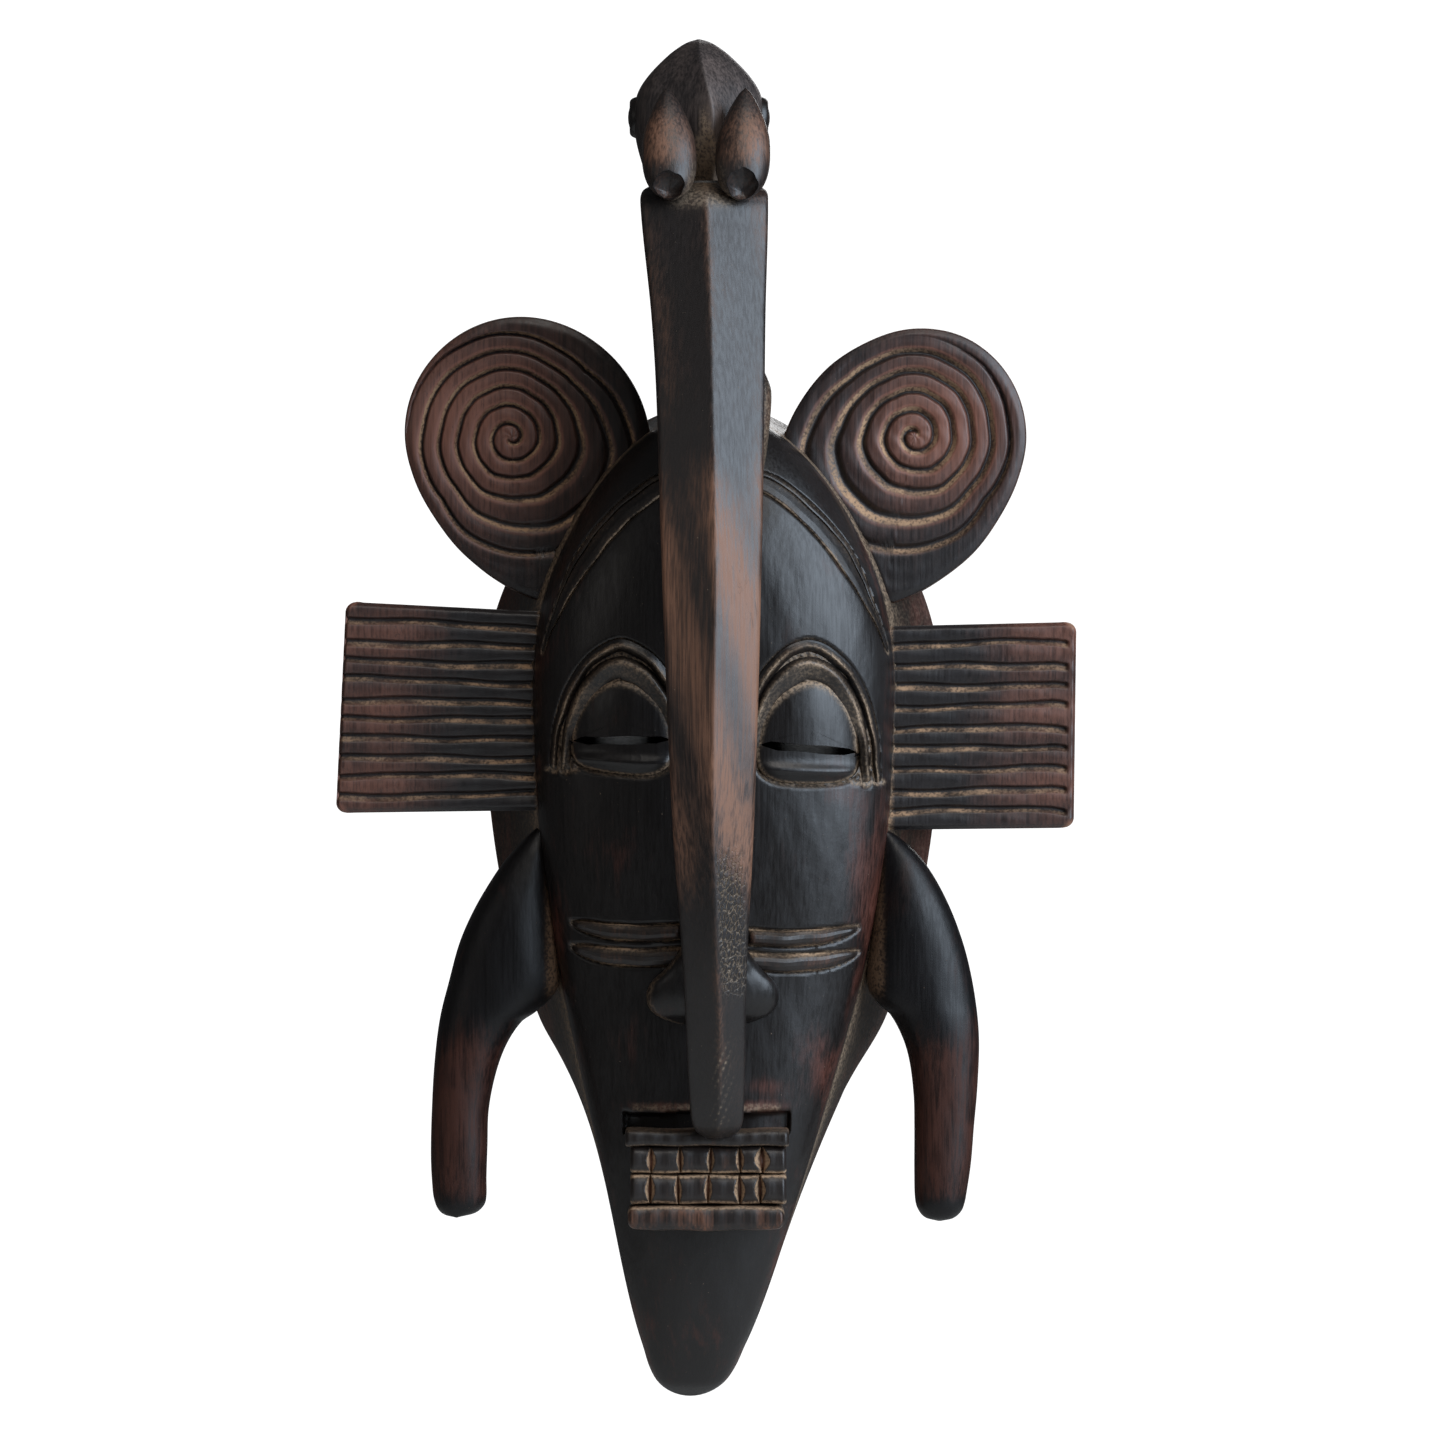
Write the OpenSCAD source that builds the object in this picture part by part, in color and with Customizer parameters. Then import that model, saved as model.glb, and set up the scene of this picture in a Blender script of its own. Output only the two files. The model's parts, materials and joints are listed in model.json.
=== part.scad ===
// Carved wooden face mask with a beaked bird crest, coiled discs, ribbed combs and curved legs.
// Millimetres, +Z up. The face looks along -Y and the open back lies in the plane y = 0.

/* [Face] */
// Half of the face's width across the temples
face_half_w = 53; // [50:0.5:55]
// Height of the top of the forehead
face_top = 108; // [105:0.5:109]
// Height of the tip of the chin
chin_tip = -184.5; // [-190:0.5:-180]
// How far the hand-carved chin leans to the left
chin_lean = 7; // [0:0.5:8]
// Depth of the face's edge in front of the wall
edge_depth = 38; // [36:0.5:40]
// Thickness of the wood over the face
face_wall = 8; // [7:0.5:9]

/* [Rim] */
// Half of the rim's width
rim_half_w = 67.5; // [66:0.5:69]
// Height of the rim's top
rim_top = 111; // [110.5:0.5:113]
// Height of the rim's lowest point, behind the chin
rim_bottom = -140; // [-145:1:-136]
// Front-to-back depth of the rim band
rim_depth = 14; // [12:1:16]
// Thickness of the rim band
rim_wall = 8; // [7:0.5:9]
// Diameter of the tie holes in the rim
tie_hole_d = 4; // [3:0.5:5]
// Height of the upper pair of tie holes
upper_tie_z = -24; // [-26:0.5:-22]
// Height of the lower pair of tie holes
lower_tie_z = -85; // [-88:0.5:-82]

/* [Eyes and mouth] */
// Height of the slits between the eyelids
eye_z = 7.5; // [6:0.5:9]
// Width of an eye slit
eye_w = 27; // [25:0.5:28]
// Height of an eye slit
slit_h = 2.4; // [2:0.1:3]
// Width of the lips
lip_w = 46.5; // [42:0.5:48]
// Front of the lips, measured from the wall
lip_depth = 63; // [62:0.5:65]

/* [Beak] */
// Distance from the wall to the beak's ridge where it bows out most
beak_reach = 110; // [106:0.5:114]

/* [Crest] */
// Height of the crown of the bird's head
crown_z = 215.8; // [213:0.2:217]
// Length of an ear
ear_len = 32; // [30:0.5:34]
// Width of an ear
ear_w = 16; // [14:0.5:17]

/* [Side ornaments] */
// Radius of a coil disc
disc_r = 33; // [32:0.1:34]
// Thickness of a coil disc
disc_t = 12; // [10:0.5:13]
// Distance between turns of the carved coil
coil_pitch = 5.2; // [5:0.1:5.6]
// Depth of the carved grooves
groove_depth = 1.6; // [1:0.1:2]
// Width of the carved grooves
groove_w = 1.3; // [1:0.1:1.6]
// Thickness of a comb
comb_t = 11; // [10:0.5:12]
// Diameter of a leg near its foot
leg_d = 16; // [14:0.5:17]

/* [Hidden] */
$fn = 48;

LEFT = -1;
RIGHT = 1;
black_wood = "#1d1917";
worn_wood = "#3a2620";
bare_wood = "#5d4534";

// The face is divided where the chin starts, just under the mouth's top edge.
chin_split = -100;
// The outlines' widest levels
face_mid = 15;
rim_mid = 0;
// Sideways place of the rim's middle line
rim_middle = -0.8;
// Outline fullness against the angle from the top: 1 is a plain oval, less is narrower.
face_fullness = [[0, 0.87], [30, 0.955], [50, 0.998], [67, 1.03], [90, 1], [105, 0.955], [126, 0.79], [140, 0.727],
    [157, 0.745], [163, 0.82], [169, 0.92], [175, 0.97], [180, 0.98]];
rim_fullness = [[0, 0.97], [20, 0.98], [62, 1.07], [90, 1], [121, 0.9], [133, 0.79], [180, 0.75]];
// Depth of the face's middle line at each height
face_profile = [[-184.5, 30], [-180, 36], [-165, 43], [-140, 49], [-105, 54], [-60, 57], [-20, 61], [10, 62],
    [40, 65], [65, 64], [85, 59], [98, 52], [104, 46.5], [108, 38]];
// Depth of the face's edge at each height
edge_profile = [[-184.5, 30], [-150, 35], [-100, 38], [108, 38]];
outline_steps = 56;
face_rings = [0.97, 0.92, 0.84, 0.74, 0.62, 0.5, 0.38, 0.26, 0.14];
far = 300;

// Smooth curve through the [key, value] points of p, read at key t
function piece_of(t, p, i = 0) = (i >= len(p) - 2 || t <= p[i + 1][0]) ? i : piece_of(t, p, i + 1);
function slope_at(p, i) =
    let(a = max(i - 1, 0), b = min(i + 1, len(p) - 1)) (p[b][1] - p[a][1]) / (p[b][0] - p[a][0]);
function curve(t, p) =
    let(i = piece_of(t, p), h = p[i + 1][0] - p[i][0], u = (t - p[i][0]) / h, v = 1 - u)
    (1 + 2 * u) * v * v * p[i][1] + u * v * v * h * slope_at(p, i)
    + u * u * (3 - 2 * u) * p[i + 1][1] - u * u * v * h * slope_at(p, i + 1);
function mix(a, b, t) = a + (b - a) * t;

// Sideways lean of the face's middle line at height z
function lean(z) = z < 0 ? -0.4 - chin_lean * pow(z / chin_tip, 2) : -0.4;

// Point [x, z] of an outline at angle a from its top; side is LEFT or RIGHT.
function face_z(a, inset = 0) =
    face_mid + cos(a) * (a < 90 ? face_top - inset - face_mid : face_mid - chin_tip - inset);
function face_point(a, side, inset = 0) =
    let(z = face_z(a, inset))
    [lean(z) + side * (face_half_w - inset) * sin(a) * curve(a, face_fullness), z];
function rim_point(a, side, inset = 0) =
    let(z = rim_mid + cos(a) * (a < 90 ? rim_top - inset - rim_mid : rim_mid - rim_bottom - inset))
    [rim_middle + side * (rim_half_w - inset) * sin(a) * curve(a, rim_fullness), z];
// The hollow's outline where the face begins: it stops above the solid chin.
hollow_bottom = -98;
function hollow_point(a, side) =
    let(z = face_mid + cos(a) * (a < 90 ? face_top - face_wall - face_mid : face_mid - hollow_bottom))
    [lean(z) + side * (face_half_w - face_wall) * sin(a) * mix(1, 0.86, max(0, -cos(a))), z];

// Angle and side of each step round an outline, counterclockwise from the top as seen from the front
function step_angle(i) = let(a = 360 * i / outline_steps) a <= 180 ? a : 360 - a;
function step_side(i) = i <= outline_steps / 2 ? LEFT : RIGHT;

// Half-width of the face at height z, and the depth of its surface at [x, z]
function face_angle(z) =
    acos(max(-1, min(1, (z - face_mid) / (z > face_mid ? face_top - face_mid : face_mid - chin_tip))));
function face_half(z) = let(a = face_angle(z)) face_half_w * sin(a) * curve(a, face_fullness);
function depth(x, z) =
    let(h = max(face_half(z), 0.01), r = min(1, abs(x - lean(z)) / h), e = curve(z, edge_profile))
    e + (curve(z, face_profile) - e) * sqrt(1 - pow(r, 2.4));

// Rings of points, from the back of the shell to the middle of the face
function ring(f, y) = [for (i = [0:outline_steps - 1])
    let(p = f(step_angle(i), step_side(i))) [p[0], y, p[1]]];
// Middle of the flare between rim and face. Under the chin it lies close to the tip, so the chin stays thick.
function flare_ring(a, b) = [for (i = [0:outline_steps - 1])
    let(under = pow(max(0, -cos(step_angle(i))), 6), p = mix(a[i], b[i], mix(0.5, 0.92, under)))
    [p[0], mix(p[1], -19, under), p[2]]];
rim_ring = ring(function(a, s) rim_point(a, s), -rim_depth);
edge_ring = [for (i = [0:outline_steps - 1])
    let(p = face_point(step_angle(i), step_side(i))) [p[0], -curve(p[1], edge_profile), p[1]]];
function face_ring(t) = [for (i = [0:outline_steps - 1])
    let(p = face_point(step_angle(i), step_side(i)), x = mix(lean(0), p[0], t), z = mix(0, p[1], t))
    [x, -depth(x, z), z]];
inner_rim_ring = ring(function(a, s) rim_point(a, s, rim_wall), -rim_depth);
hollow_ring = ring(function(a, s) hollow_point(a, s), -(edge_depth - 4));
function hollow_face_ring(t) = [for (i = [0:outline_steps - 1])
    let(p = hollow_point(step_angle(i), step_side(i)), x = mix(lean(0), p[0], t), z = mix(0, p[1], t))
    [x, -(depth(x, z) - face_wall), z]];

// Closed skin over rings of equal length; the first and last rings are capped, and the rings run
// counterclockwise as seen from the side that the last one faces.
module skin(rings) {
    n = len(rings[0]);
    m = len(rings);
    sides = [for (k = [0:m - 2]) for (i = [0:n - 1])
        each [[k * n + i, (k + 1) * n + i, (k + 1) * n + (i + 1) % n],
              [k * n + i, (k + 1) * n + (i + 1) % n, k * n + (i + 1) % n]]];
    first = [for (i = [1:n - 2]) [0, i, i + 1]];
    last = [for (i = [1:n - 2]) [(m - 1) * n, (m - 1) * n + i + 1, (m - 1) * n + i]];
    polyhedron(points = [for (r = rings) each r], faces = concat(sides, first, last));
}

// Outside form of face and chin without its hollow; neighbours are cut back to it.
module outer_form() {
    skin(concat([rim_ring, flare_ring(rim_ring, edge_ring), edge_ring],
        [for (t = face_rings) face_ring(t)]));
}

module hollow_form() {
    skin(concat([ring(function(a, s) rim_point(a, s, rim_wall), -rim_depth + 1), inner_rim_ring, hollow_ring],
        [for (t = [0.94, 0.84, 0.7, 0.54, 0.36, 0.18]) hollow_face_ring(t)]));
}

// Places a front-view outline, drawn as [x, z], between two depths in front of the wall
module from_front(depth_from, depth_to) {
    translate([0, -depth_from, 0])
        rotate([90, 0, 0])
            linear_extrude(depth_to - depth_from)
                children();
}

module above(z) translate([-far, -far, z]) cube([2 * far, 2 * far, far]);
module below(z) translate([-far, -far, z - far]) cube([2 * far, 2 * far, far]);

// ---- Rim ----

tie_y = -rim_depth / 2;

// Half-width of the rim at height z, and how far below level its wall faces there
function rim_half(z) =
    let(a = acos((z - rim_mid) / (z > rim_mid ? rim_top - rim_mid : rim_mid - rim_bottom)))
    rim_half_w * sin(a) * curve(a, rim_fullness);
function rim_tilt(z) = atan((rim_half(z + 1) - rim_half(z - 1)) / 2);

module rim_outline(inset) {
    polygon([for (i = [0:outline_steps - 1]) rim_point(step_angle(i), step_side(i), inset)]);
}

// A tie hole runs square through the rim's wall.
module tie_hole(z, side) {
    translate([rim_middle + side * rim_half(z), tie_y, z])
        rotate([0, side * (90 + rim_tilt(z)), 0])
            cylinder(d = tie_hole_d, h = 3 * rim_wall, center = true);
}

module rim_band() {
    color(bare_wood)
        difference() {
            from_front(0, rim_depth) difference() {
                rim_outline(0);
                rim_outline(rim_wall);
            }
            for (side = [LEFT, RIGHT]) {
                tie_hole(upper_tie_z, side);
                tie_hole(lower_tie_z, side);
            }
        }
}

// ---- Eyes ----

eye_x = 27.5;
lid_h = 19;
pouch_h = 9.5;

// Front view of one eye: a domed upper lid over a shallow lower one
module lid_outline(side, h) {
    translate([side * eye_x, eye_z])
        polygon([for (a = [0:12:180]) [eye_w / 2 * cos(a), h * sin(a)]]);
}

module eye_opening(side) {
    lid_outline(side, lid_h);
    mirror_about_slit() lid_outline(side, pouch_h);
}

module mirror_about_slit() translate([0, 2 * eye_z]) mirror([0, 1]) children();

// A lid is a piece of a ball, flat behind, that bulges a little in front of the face.
module lid(side, h, ball_depth, ball_r) {
    color(black_wood)
        intersection() {
            from_front(48, 80) difference() {
                if (h > 0) lid_outline(side, h);
                else mirror_about_slit() lid_outline(side, -h);
                translate([-far, eye_z - slit_h / 2]) square([2 * far, slit_h]);
            }
            translate([side * (eye_x - 4), -ball_depth, eye_z]) sphere(r = ball_r);
        }
}

module upper_eyelid_left() lid(LEFT, lid_h, 30, 34);
module upper_eyelid_right() lid(RIGHT, lid_h, 30, 34);
module lower_eyelid_left() lid(LEFT, -pouch_h, 30, 34.5);
module lower_eyelid_right() lid(RIGHT, -pouch_h, 30, 34.5);

// ---- Face ----

module face_body() {
    difference() {
        outer_form();
        hollow_form();
    }
}

module face_shell() {
    color(black_wood)
        difference() {
            face_body();
            below(chin_split);
            for (side = [LEFT, RIGHT])
                from_front(20, 90) eye_opening(side);
        }
}

module chin() {
    color(black_wood)
        difference() {
            face_body();
            above(chin_split);
        }
}

// Raised strip on the face along centre points [x, z], w wide and h proud, with bevelled sides
sunk = 0.3;
function side_step(p, i) =
    let(a = p[max(i - 1, 0)], b = p[min(i + 1, len(p) - 1)], d = b - a) [d[1], -d[0]] / norm(d);
function on_face(p, up) = [p[0], -(depth(p[0], p[1]) + up), p[1]];
module strip(points, w, h) {
    skin([for (i = [0:len(points) - 1])
        let(c = points[i], s = side_step(points, i) * w / 2)
        [on_face(c - s, -sunk), on_face(c - 0.55 * s, h), on_face(c + 0.55 * s, h), on_face(c + s, -sunk)]]);
}

// Points along an arch that stands on the slit's level
function arch(side, rx, rz, from, to, steps) = [for (k = [0:steps])
    let(a = mix(from, to, k / steps)) [side * (eye_x + rx * cos(a)), eye_z - 4 + rz * sin(a)]];

module brow(side, rx, rz, w) {
    color(black_wood) strip(arch(side, rx, rz, side > 0 ? 150 : 6, side > 0 ? 6 : 150, 22), w, 1.6);
}

module outer_brow_left() brow(LEFT, 20.6, 34.5, 3);
module outer_brow_right() brow(RIGHT, 20.6, 34.5, 3);
module inner_brow_left() brow(LEFT, 17, 29, 3);
module inner_brow_right() brow(RIGHT, 17, 29, 3);

// Height of the forehead band's middle against the distance from the face's middle line
band_line = [[0, 88.5], [15, 86], [24.5, 79.6], [31.3, 72.7], [36.5, 66.3], [42, 58], [45.5, 51.5], [47.5, 46]];
module forehead_band() {
    half = band_line[len(band_line) - 1][0];
    steps = 16;
    points = [for (k = [-steps:steps])
        let(x = half * sign(k) * pow(abs(k) / steps, 0.75)) [x, curve(abs(x), band_line)]];
    color(black_wood) strip(points, 5.5, 1.4);
}

bar_in = 9;
bar_out = 41;
module cheek_bar(side, z) {
    steps = 12;
    points = [for (k = [0:steps])
        let(x = side * mix(bar_in, bar_out, (side > 0 ? k : steps - k) / steps))
        [x, z - 2 * pow(sin(180 * (abs(x) - bar_in) / (bar_out - bar_in)), 2)]];
    color(worn_wood) strip(points, 5, 2);
}

module upper_cheek_bar_left() cheek_bar(LEFT, -45);
module upper_cheek_bar_right() cheek_bar(RIGHT, -45);
module lower_cheek_bar_left() cheek_bar(LEFT, -52.5);
module lower_cheek_bar_right() cheek_bar(RIGHT, -52.5);

// Long nose with a narrow bridge and round wings; it stays behind the beak.
nose_half_w = [[-72, 8], [-69, 14], [-64, 17], [-57, 13], [-45, 7.5], [20, 4.5]];
nose_height = [[-72, 1], [-69, 7], [-63, 11], [-50, 11], [-20, 8], [20, 1.5]];
module nose() {
    levels = [-72, -70, -68, -65, -61, -57, -52, -45, -35, -20, 0, 20];
    turns = 10;
    color(black_wood)
        skin([for (z = levels)
            let(w = curve(z, nose_half_w), h = curve(z, nose_height), c = lean(z) + 1.5)
            concat([for (k = [0:turns])
                let(a = 180 * k / turns, x = c - w * cos(a))
                [x, -(depth(x, z) - sunk + h * pow(sin(a), 0.8)), z]])]);
}

// ---- Mouth ----

lip_x = -2.2;
lip_rows = [-103.8, -108.4, -116.4, -125.6, -133]; // tops of the lips and the rows of teeth
tooth_count = 6;
tooth_gap = 2.2;

module mouth_bar(row, front) {
    difference() {
        translate([lip_x - lip_w / 2, -front, lip_rows[row + 1]])
            cube([lip_w, front - 30, lip_rows[row] - lip_rows[row + 1]]);
        outer_form();
    }
}

module teeth(row) {
    pitch = lip_w / tooth_count;
    color(worn_wood)
        difference() {
            mouth_bar(row, lip_depth - 1.5);
            for (k = [1:tooth_count - 1])
                translate([lip_x - lip_w / 2 + k * pitch, -lip_depth + 1.5, lip_rows[row + 1] - 1])
                    linear_extrude(lip_rows[row] - lip_rows[row + 1] + 2)
                        polygon([[-tooth_gap / 2, -1], [tooth_gap / 2, -1], [0, tooth_gap]]);
        }
}

module upper_lip() {
    color(black_wood)
        difference() {
            mouth_bar(0, lip_depth);
            beak_form();
        }
}
module upper_teeth() teeth(1);
module lower_teeth() teeth(2);
module lower_lip() color(black_wood) mouth_bar(3, lip_depth);

// ---- Beak ----

// Front ridge's depth, thickness front to back, left and right edges and ridge line at each height
beak_bow = [[-105.8, 0.62], [-102, 0.67], [-90, 0.745], [-60, 0.87], [-30, 0.95], [10, 1], [60, 0.99],
    [100, 0.945], [135, 0.88], [160, 0.825], [168, 0.8], [172, 0.73]];
beak_thick = [[-105.8, 8], [-102, 12], [-90, 16], [-60, 18], [0, 20], [60, 21], [135, 24], [160, 25], [172, 17]];
beak_left = [[-105.8, -3], [-103.5, -6], [-98, -7.4], [-55, -9.5], [-13, -12.4], [58, -15.4], [111, -17.1],
    [134, -18.6], [166, -21.8], [170, -21], [172, -18]];
beak_right = [[-105.8, 4.5], [-103.5, 7.4], [-98, 8.6], [-54, 9.5], [-13, 11.5], [58, 13.6], [111, 14.5],
    [134, 14.8], [166, 15.6], [170, 15], [172, 12]];
beak_ridge = [[-105.8, 1], [-74, 1.5], [-54, 0.6], [-13, -0.6], [58, 0], [132, -1.2], [172, -2.5]];
beak_levels = [-105.8, -105, -103.5, -101, -97, -90, -80, -68, -54, -40, -26, -13, 2, 18, 34, 50, 66, 82, 98,
    112, 124, 136, 148, 158, 164, 168, 170.5, 172];
flank_drop = 7;

module beak_form() {
    skin([for (z = beak_levels)
        let(f = beak_reach * curve(z, beak_bow), t = curve(z, beak_thick), l = curve(z, beak_left),
            r = curve(z, beak_right), m = curve(z, beak_ridge), d = min(flank_drop, t / 3), b = f - t)
        [[l + 2, -b, z], [l, -b - 2, z], [l, -f + d + 2, z], [l + 1, -f + d, z], [m, -f, z],
         [r - 1, -f + d, z], [r, -f + d + 2, z], [r, -b - 2, z], [r - 2, -b, z]]]);
}

module beak() color(worn_wood) beak_form();

// ---- Crest ----

head_middle = -4.7;
// Half-width, front and back of the head against the drop below its crown
head_half_w = [[0, 0.8], [1.2, 3.6], [4.8, 8.3], [10.8, 14.3], [17, 17.6], [23, 19], [30, 18.2], [38, 14.5], [44, 11]];
head_front = [[0, 57], [2, 63], [8, 71], [16, 77], [26, 79.5], [36, 77], [44, 73]];
head_back = [[0, 54], [2, 49], [8, 41], [16, 34], [26, 31], [36, 34], [44, 40]];
head_drops = [44, 41, 37, 32, 27, 23, 19, 15, 11, 7.5, 4.5, 2, 0.6, 0];
keel = 3.5;

module head_form() {
    steps = 24;
    skin([for (drop = head_drops)
        let(w = curve(drop, head_half_w), f = curve(drop, head_front), b = curve(drop, head_back),
            c = (f + b) / 2, d = (f - b) / 2, k = min(keel, w / 4))
        [for (i = [0:steps - 1])
            let(a = 360 * i / steps + 90, s = max(0, 1 - abs(a - 270) / 75))
            [head_middle + w * cos(a), -c + d * sin(a) * 0.93 - k * s, crown_z - drop]]]);
}

function ear_axis(side) = [side > 0 ? 7.6 : -12.6, -80, 183];
ear_tilt = 6;

// An ear is a spindle: an arc turned about its own axis.
module ear_form(side) {
    bulge_r = (ear_len * ear_len / 4 + ear_w * ear_w / 4) / ear_w;
    half_angle = asin(ear_len / 2 / bulge_r);
    translate(ear_axis(side))
        rotate([ear_tilt, 0, 0])
            rotate_extrude()
                polygon([for (a = [-half_angle:half_angle / 8:half_angle])
                    [max(0, bulge_r * cos(a) - bulge_r + ear_w / 2), bulge_r * sin(a)]]);
}

// The hollow at the root of each ear opens forward and down.
cup_r = 5;
module ear(side) {
    color(worn_wood)
        difference() {
            ear_form(side);
            translate(ear_axis(side) + [0, -7.5, -12]) sphere(r = cup_r);
            beak_form();
        }
}
module ear_left() ear(LEFT);
module ear_right() ear(RIGHT);

crest_eye_r = 5.5;
module crest_eye_form(side) {
    translate([head_middle + side * 14, -58, crown_z - 23])
        rotate([0, 90 * side, 0])
            cylinder(r = crest_eye_r, h = 6.5);
}
module crest_eye(side) {
    color(black_wood)
        difference() {
            crest_eye_form(side);
            head_form();
        }
}
module crest_eye_left() crest_eye(LEFT);
module crest_eye_right() crest_eye(RIGHT);

module crest_head() {
    color(black_wood)
        difference() {
            head_form();
            ear_form(LEFT);
            ear_form(RIGHT);
            beak_form();
        }
}

// The neck rises behind the beak from the top of the face to the head.
neck_levels = [88, 96, 104, 112, 122, 134, 148, 160, 172];
neck_left = [[88, -14], [112, -15.5], [134, -13.5], [172, -14]];
neck_right = [[88, 14], [112, 16.3], [122, 13], [134, 11.5], [172, 6.5]];
neck_front = [[88, 66], [112, 68], [122, 72], [134, 76], [148, 79], [160, 78], [172, 74.5]];
neck_back = [[88, 26], [112, 28], [134, 36], [172, 42]];

module neck_form() {
    skin([for (z = neck_levels)
        let(l = curve(z, neck_left), r = curve(z, neck_right), f = curve(z, neck_front),
            b = curve(z, neck_back), c = 4)
        [[l + c, -b, z], [l, -b - c, z], [l, -f + c, z], [l + c, -f, z],
         [r - c, -f, z], [r, -f + c, z], [r, -b - c, z], [r - c, -b, z]]]);
}

module crest_neck() {
    color(black_wood)
        difference() {
            neck_form();
            outer_form();
            rim_solid();
            beak_form();
        }
}

module rim_solid() from_front(0, rim_depth) rim_outline(0);

// ---- Side ornaments ----

disc_back = 22;
disc_root = [[24, 96], [26, 78]];
// Each disc is a teardrop. Its radius, as a share of disc_r, against the angle above its outward side
left_teardrop = [[-99, 1.48], [-84, 1.29], [-70, 1.15], [-48, 1.005], [-24, 0.95], [0, 0.957], [43, 1.005],
    [90, 1.085], [130, 1.145], [165, 1.22]];
right_teardrop = [[-97, 1.515], [-80, 1.32], [-67, 1.21], [-45, 1.07], [-23, 1.015], [0, 1.012], [58, 1.003],
    [90, 0.967], [116, 0.945], [136, 0.975], [163, 1.067], [176, 1.17]];

module disc_outline(centre, teardrop, side) {
    from = teardrop[0][0];
    to = teardrop[len(teardrop) - 1][0];
    steps = 40;
    polygon(concat(
        [for (k = [0:steps]) let(a = mix(from, to, k / steps), r = disc_r * curve(a, teardrop))
            centre + r * [side * cos(a), sin(a)]],
        [for (p = disc_root) [side * p[0], p[1]]]));
}

// One groove that winds out from the middle
module coil_groove(centre, side) {
    reach = disc_r - 5.5;
    turns = reach / coil_pitch;
    steps = floor(22 * turns);
    function at(k, shift) =
        let(r = 1.5 + reach * k / steps + shift, a = side * 360 * turns * k / steps)
        centre + r * [cos(a), sin(a)];
    polygon(concat([for (k = [0:steps]) at(k, groove_w / 2)], [for (k = [steps:-1:0]) at(k, -groove_w / 2)]));
}

module coil_disc(centre, teardrop, side) {
    color(worn_wood)
        difference() {
            from_front(disc_back, disc_back + disc_t) disc_outline(centre, teardrop, side);
            from_front(disc_back + disc_t - groove_depth, disc_back + disc_t + 1) coil_groove(centre, side);
            outer_form();
            neck_form();
        }
}
module coil_disc_left() coil_disc([-60.5, 100], left_teardrop, LEFT);
module coil_disc_right() coil_disc([59, 100.5], right_teardrop, RIGHT);

comb_back = 27;

// Ribbed plate: corners run inner top, outer top, outer bottom, inner bottom; the grooves fan between its ends.
module comb(corners, grooves) {
    color(worn_wood)
        difference() {
            from_front(comb_back, comb_back + comb_t) polygon(corners);
            for (k = [1:grooves]) {
                a = mix(corners[0], corners[3], k / (grooves + 1));
                b = mix(corners[1], corners[2], k / (grooves + 1));
                out = (b - a) / norm(b - a);
                up = [-out[1], out[0]] * groove_w / 2;
                from_front(comb_back + comb_t - groove_depth, comb_back + comb_t + 1)
                    polygon([a - up - 5 * out, b - up - 1.5 * out, b + up - 1.5 * out, a + up - 5 * out]);
            }
            outer_form();
        }
}
left_comb_corners = [[-46, 48], [-109.3, 51.3], [-112.3, -11.3], [-46, -10.5]];
right_comb_corners = [[46, 44], [107, 45.3], [106.6, -15.7], [46, -16.3]];
module comb_left() comb(left_comb_corners, 10);
module comb_right() comb(right_comb_corners, 9);

// Centre line of a leg as [x, y, z], from the root beside the cheek to the foot, and its radius as a
// share of the leg's thickness near the foot
right_leg_path = [[44, -33, -36], [52, -34, -43], [59, -35, -54], [63.5, -36, -65], [67, -37, -80],
    [68, -37, -97], [67.6, -36, -110], [67, -35, -120], [66.2, -34, -128], [65.8, -34, -132]];
left_leg_path = [[-45, -33, -33], [-55, -34, -43], [-64, -35, -57], [-69, -36, -68], [-73, -37, -80],
    [-75.2, -37, -95], [-75.8, -36, -108], [-75.7, -35, -119], [-75.4, -34, -127.5], [-75.2, -34, -131.5]];
leg_shares = [1.4, 1.2, 0.96, 0.84, 0.71, 0.58, 0.53, 0.5, 0.43, 0.19];

function leg_ring(path, k) =
    let(a = path[max(k - 1, 0)], b = path[min(k + 1, len(path) - 1)], d = (b - a) / norm(b - a),
        u = cross([0, 1, 0], d) / norm(cross([0, 1, 0], d)), v = cross(d, u), turns = 20)
    [for (i = [0:turns - 1])
        let(q = 360 * i / turns) path[k] + leg_d * leg_shares[k] * (cos(q) * u + 0.85 * sin(q) * v)];

module leg(path, comb_corners) {
    color(black_wood)
        difference() {
            skin([for (k = [0:len(path) - 1]) leg_ring(path, k)]);
            outer_form();
            rim_solid();
            from_front(comb_back, comb_back + comb_t) polygon(comb_corners);
        }
}

module leg_left() leg(left_leg_path, left_comb_corners);
module leg_right() leg(right_leg_path, right_comb_corners);

rim_band();
face_shell();
chin();
forehead_band();
outer_brow_left();
outer_brow_right();
inner_brow_left();
inner_brow_right();
upper_eyelid_left();
upper_eyelid_right();
lower_eyelid_left();
lower_eyelid_right();
upper_cheek_bar_left();
upper_cheek_bar_right();
lower_cheek_bar_left();
lower_cheek_bar_right();
nose();
upper_lip();
upper_teeth();
lower_teeth();
lower_lip();
beak();
crest_neck();
crest_head();
crest_eye_left();
crest_eye_right();
ear_left();
ear_right();
coil_disc_left();
coil_disc_right();
comb_left();
comb_right();
leg_left();
leg_right();
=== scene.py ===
"""A carved hardwood face mask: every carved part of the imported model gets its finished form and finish.

Lengths are millimetres until `sheet` turns them into metres. +Z is up and the face looks along -Y.
"""
import json
import math

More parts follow.
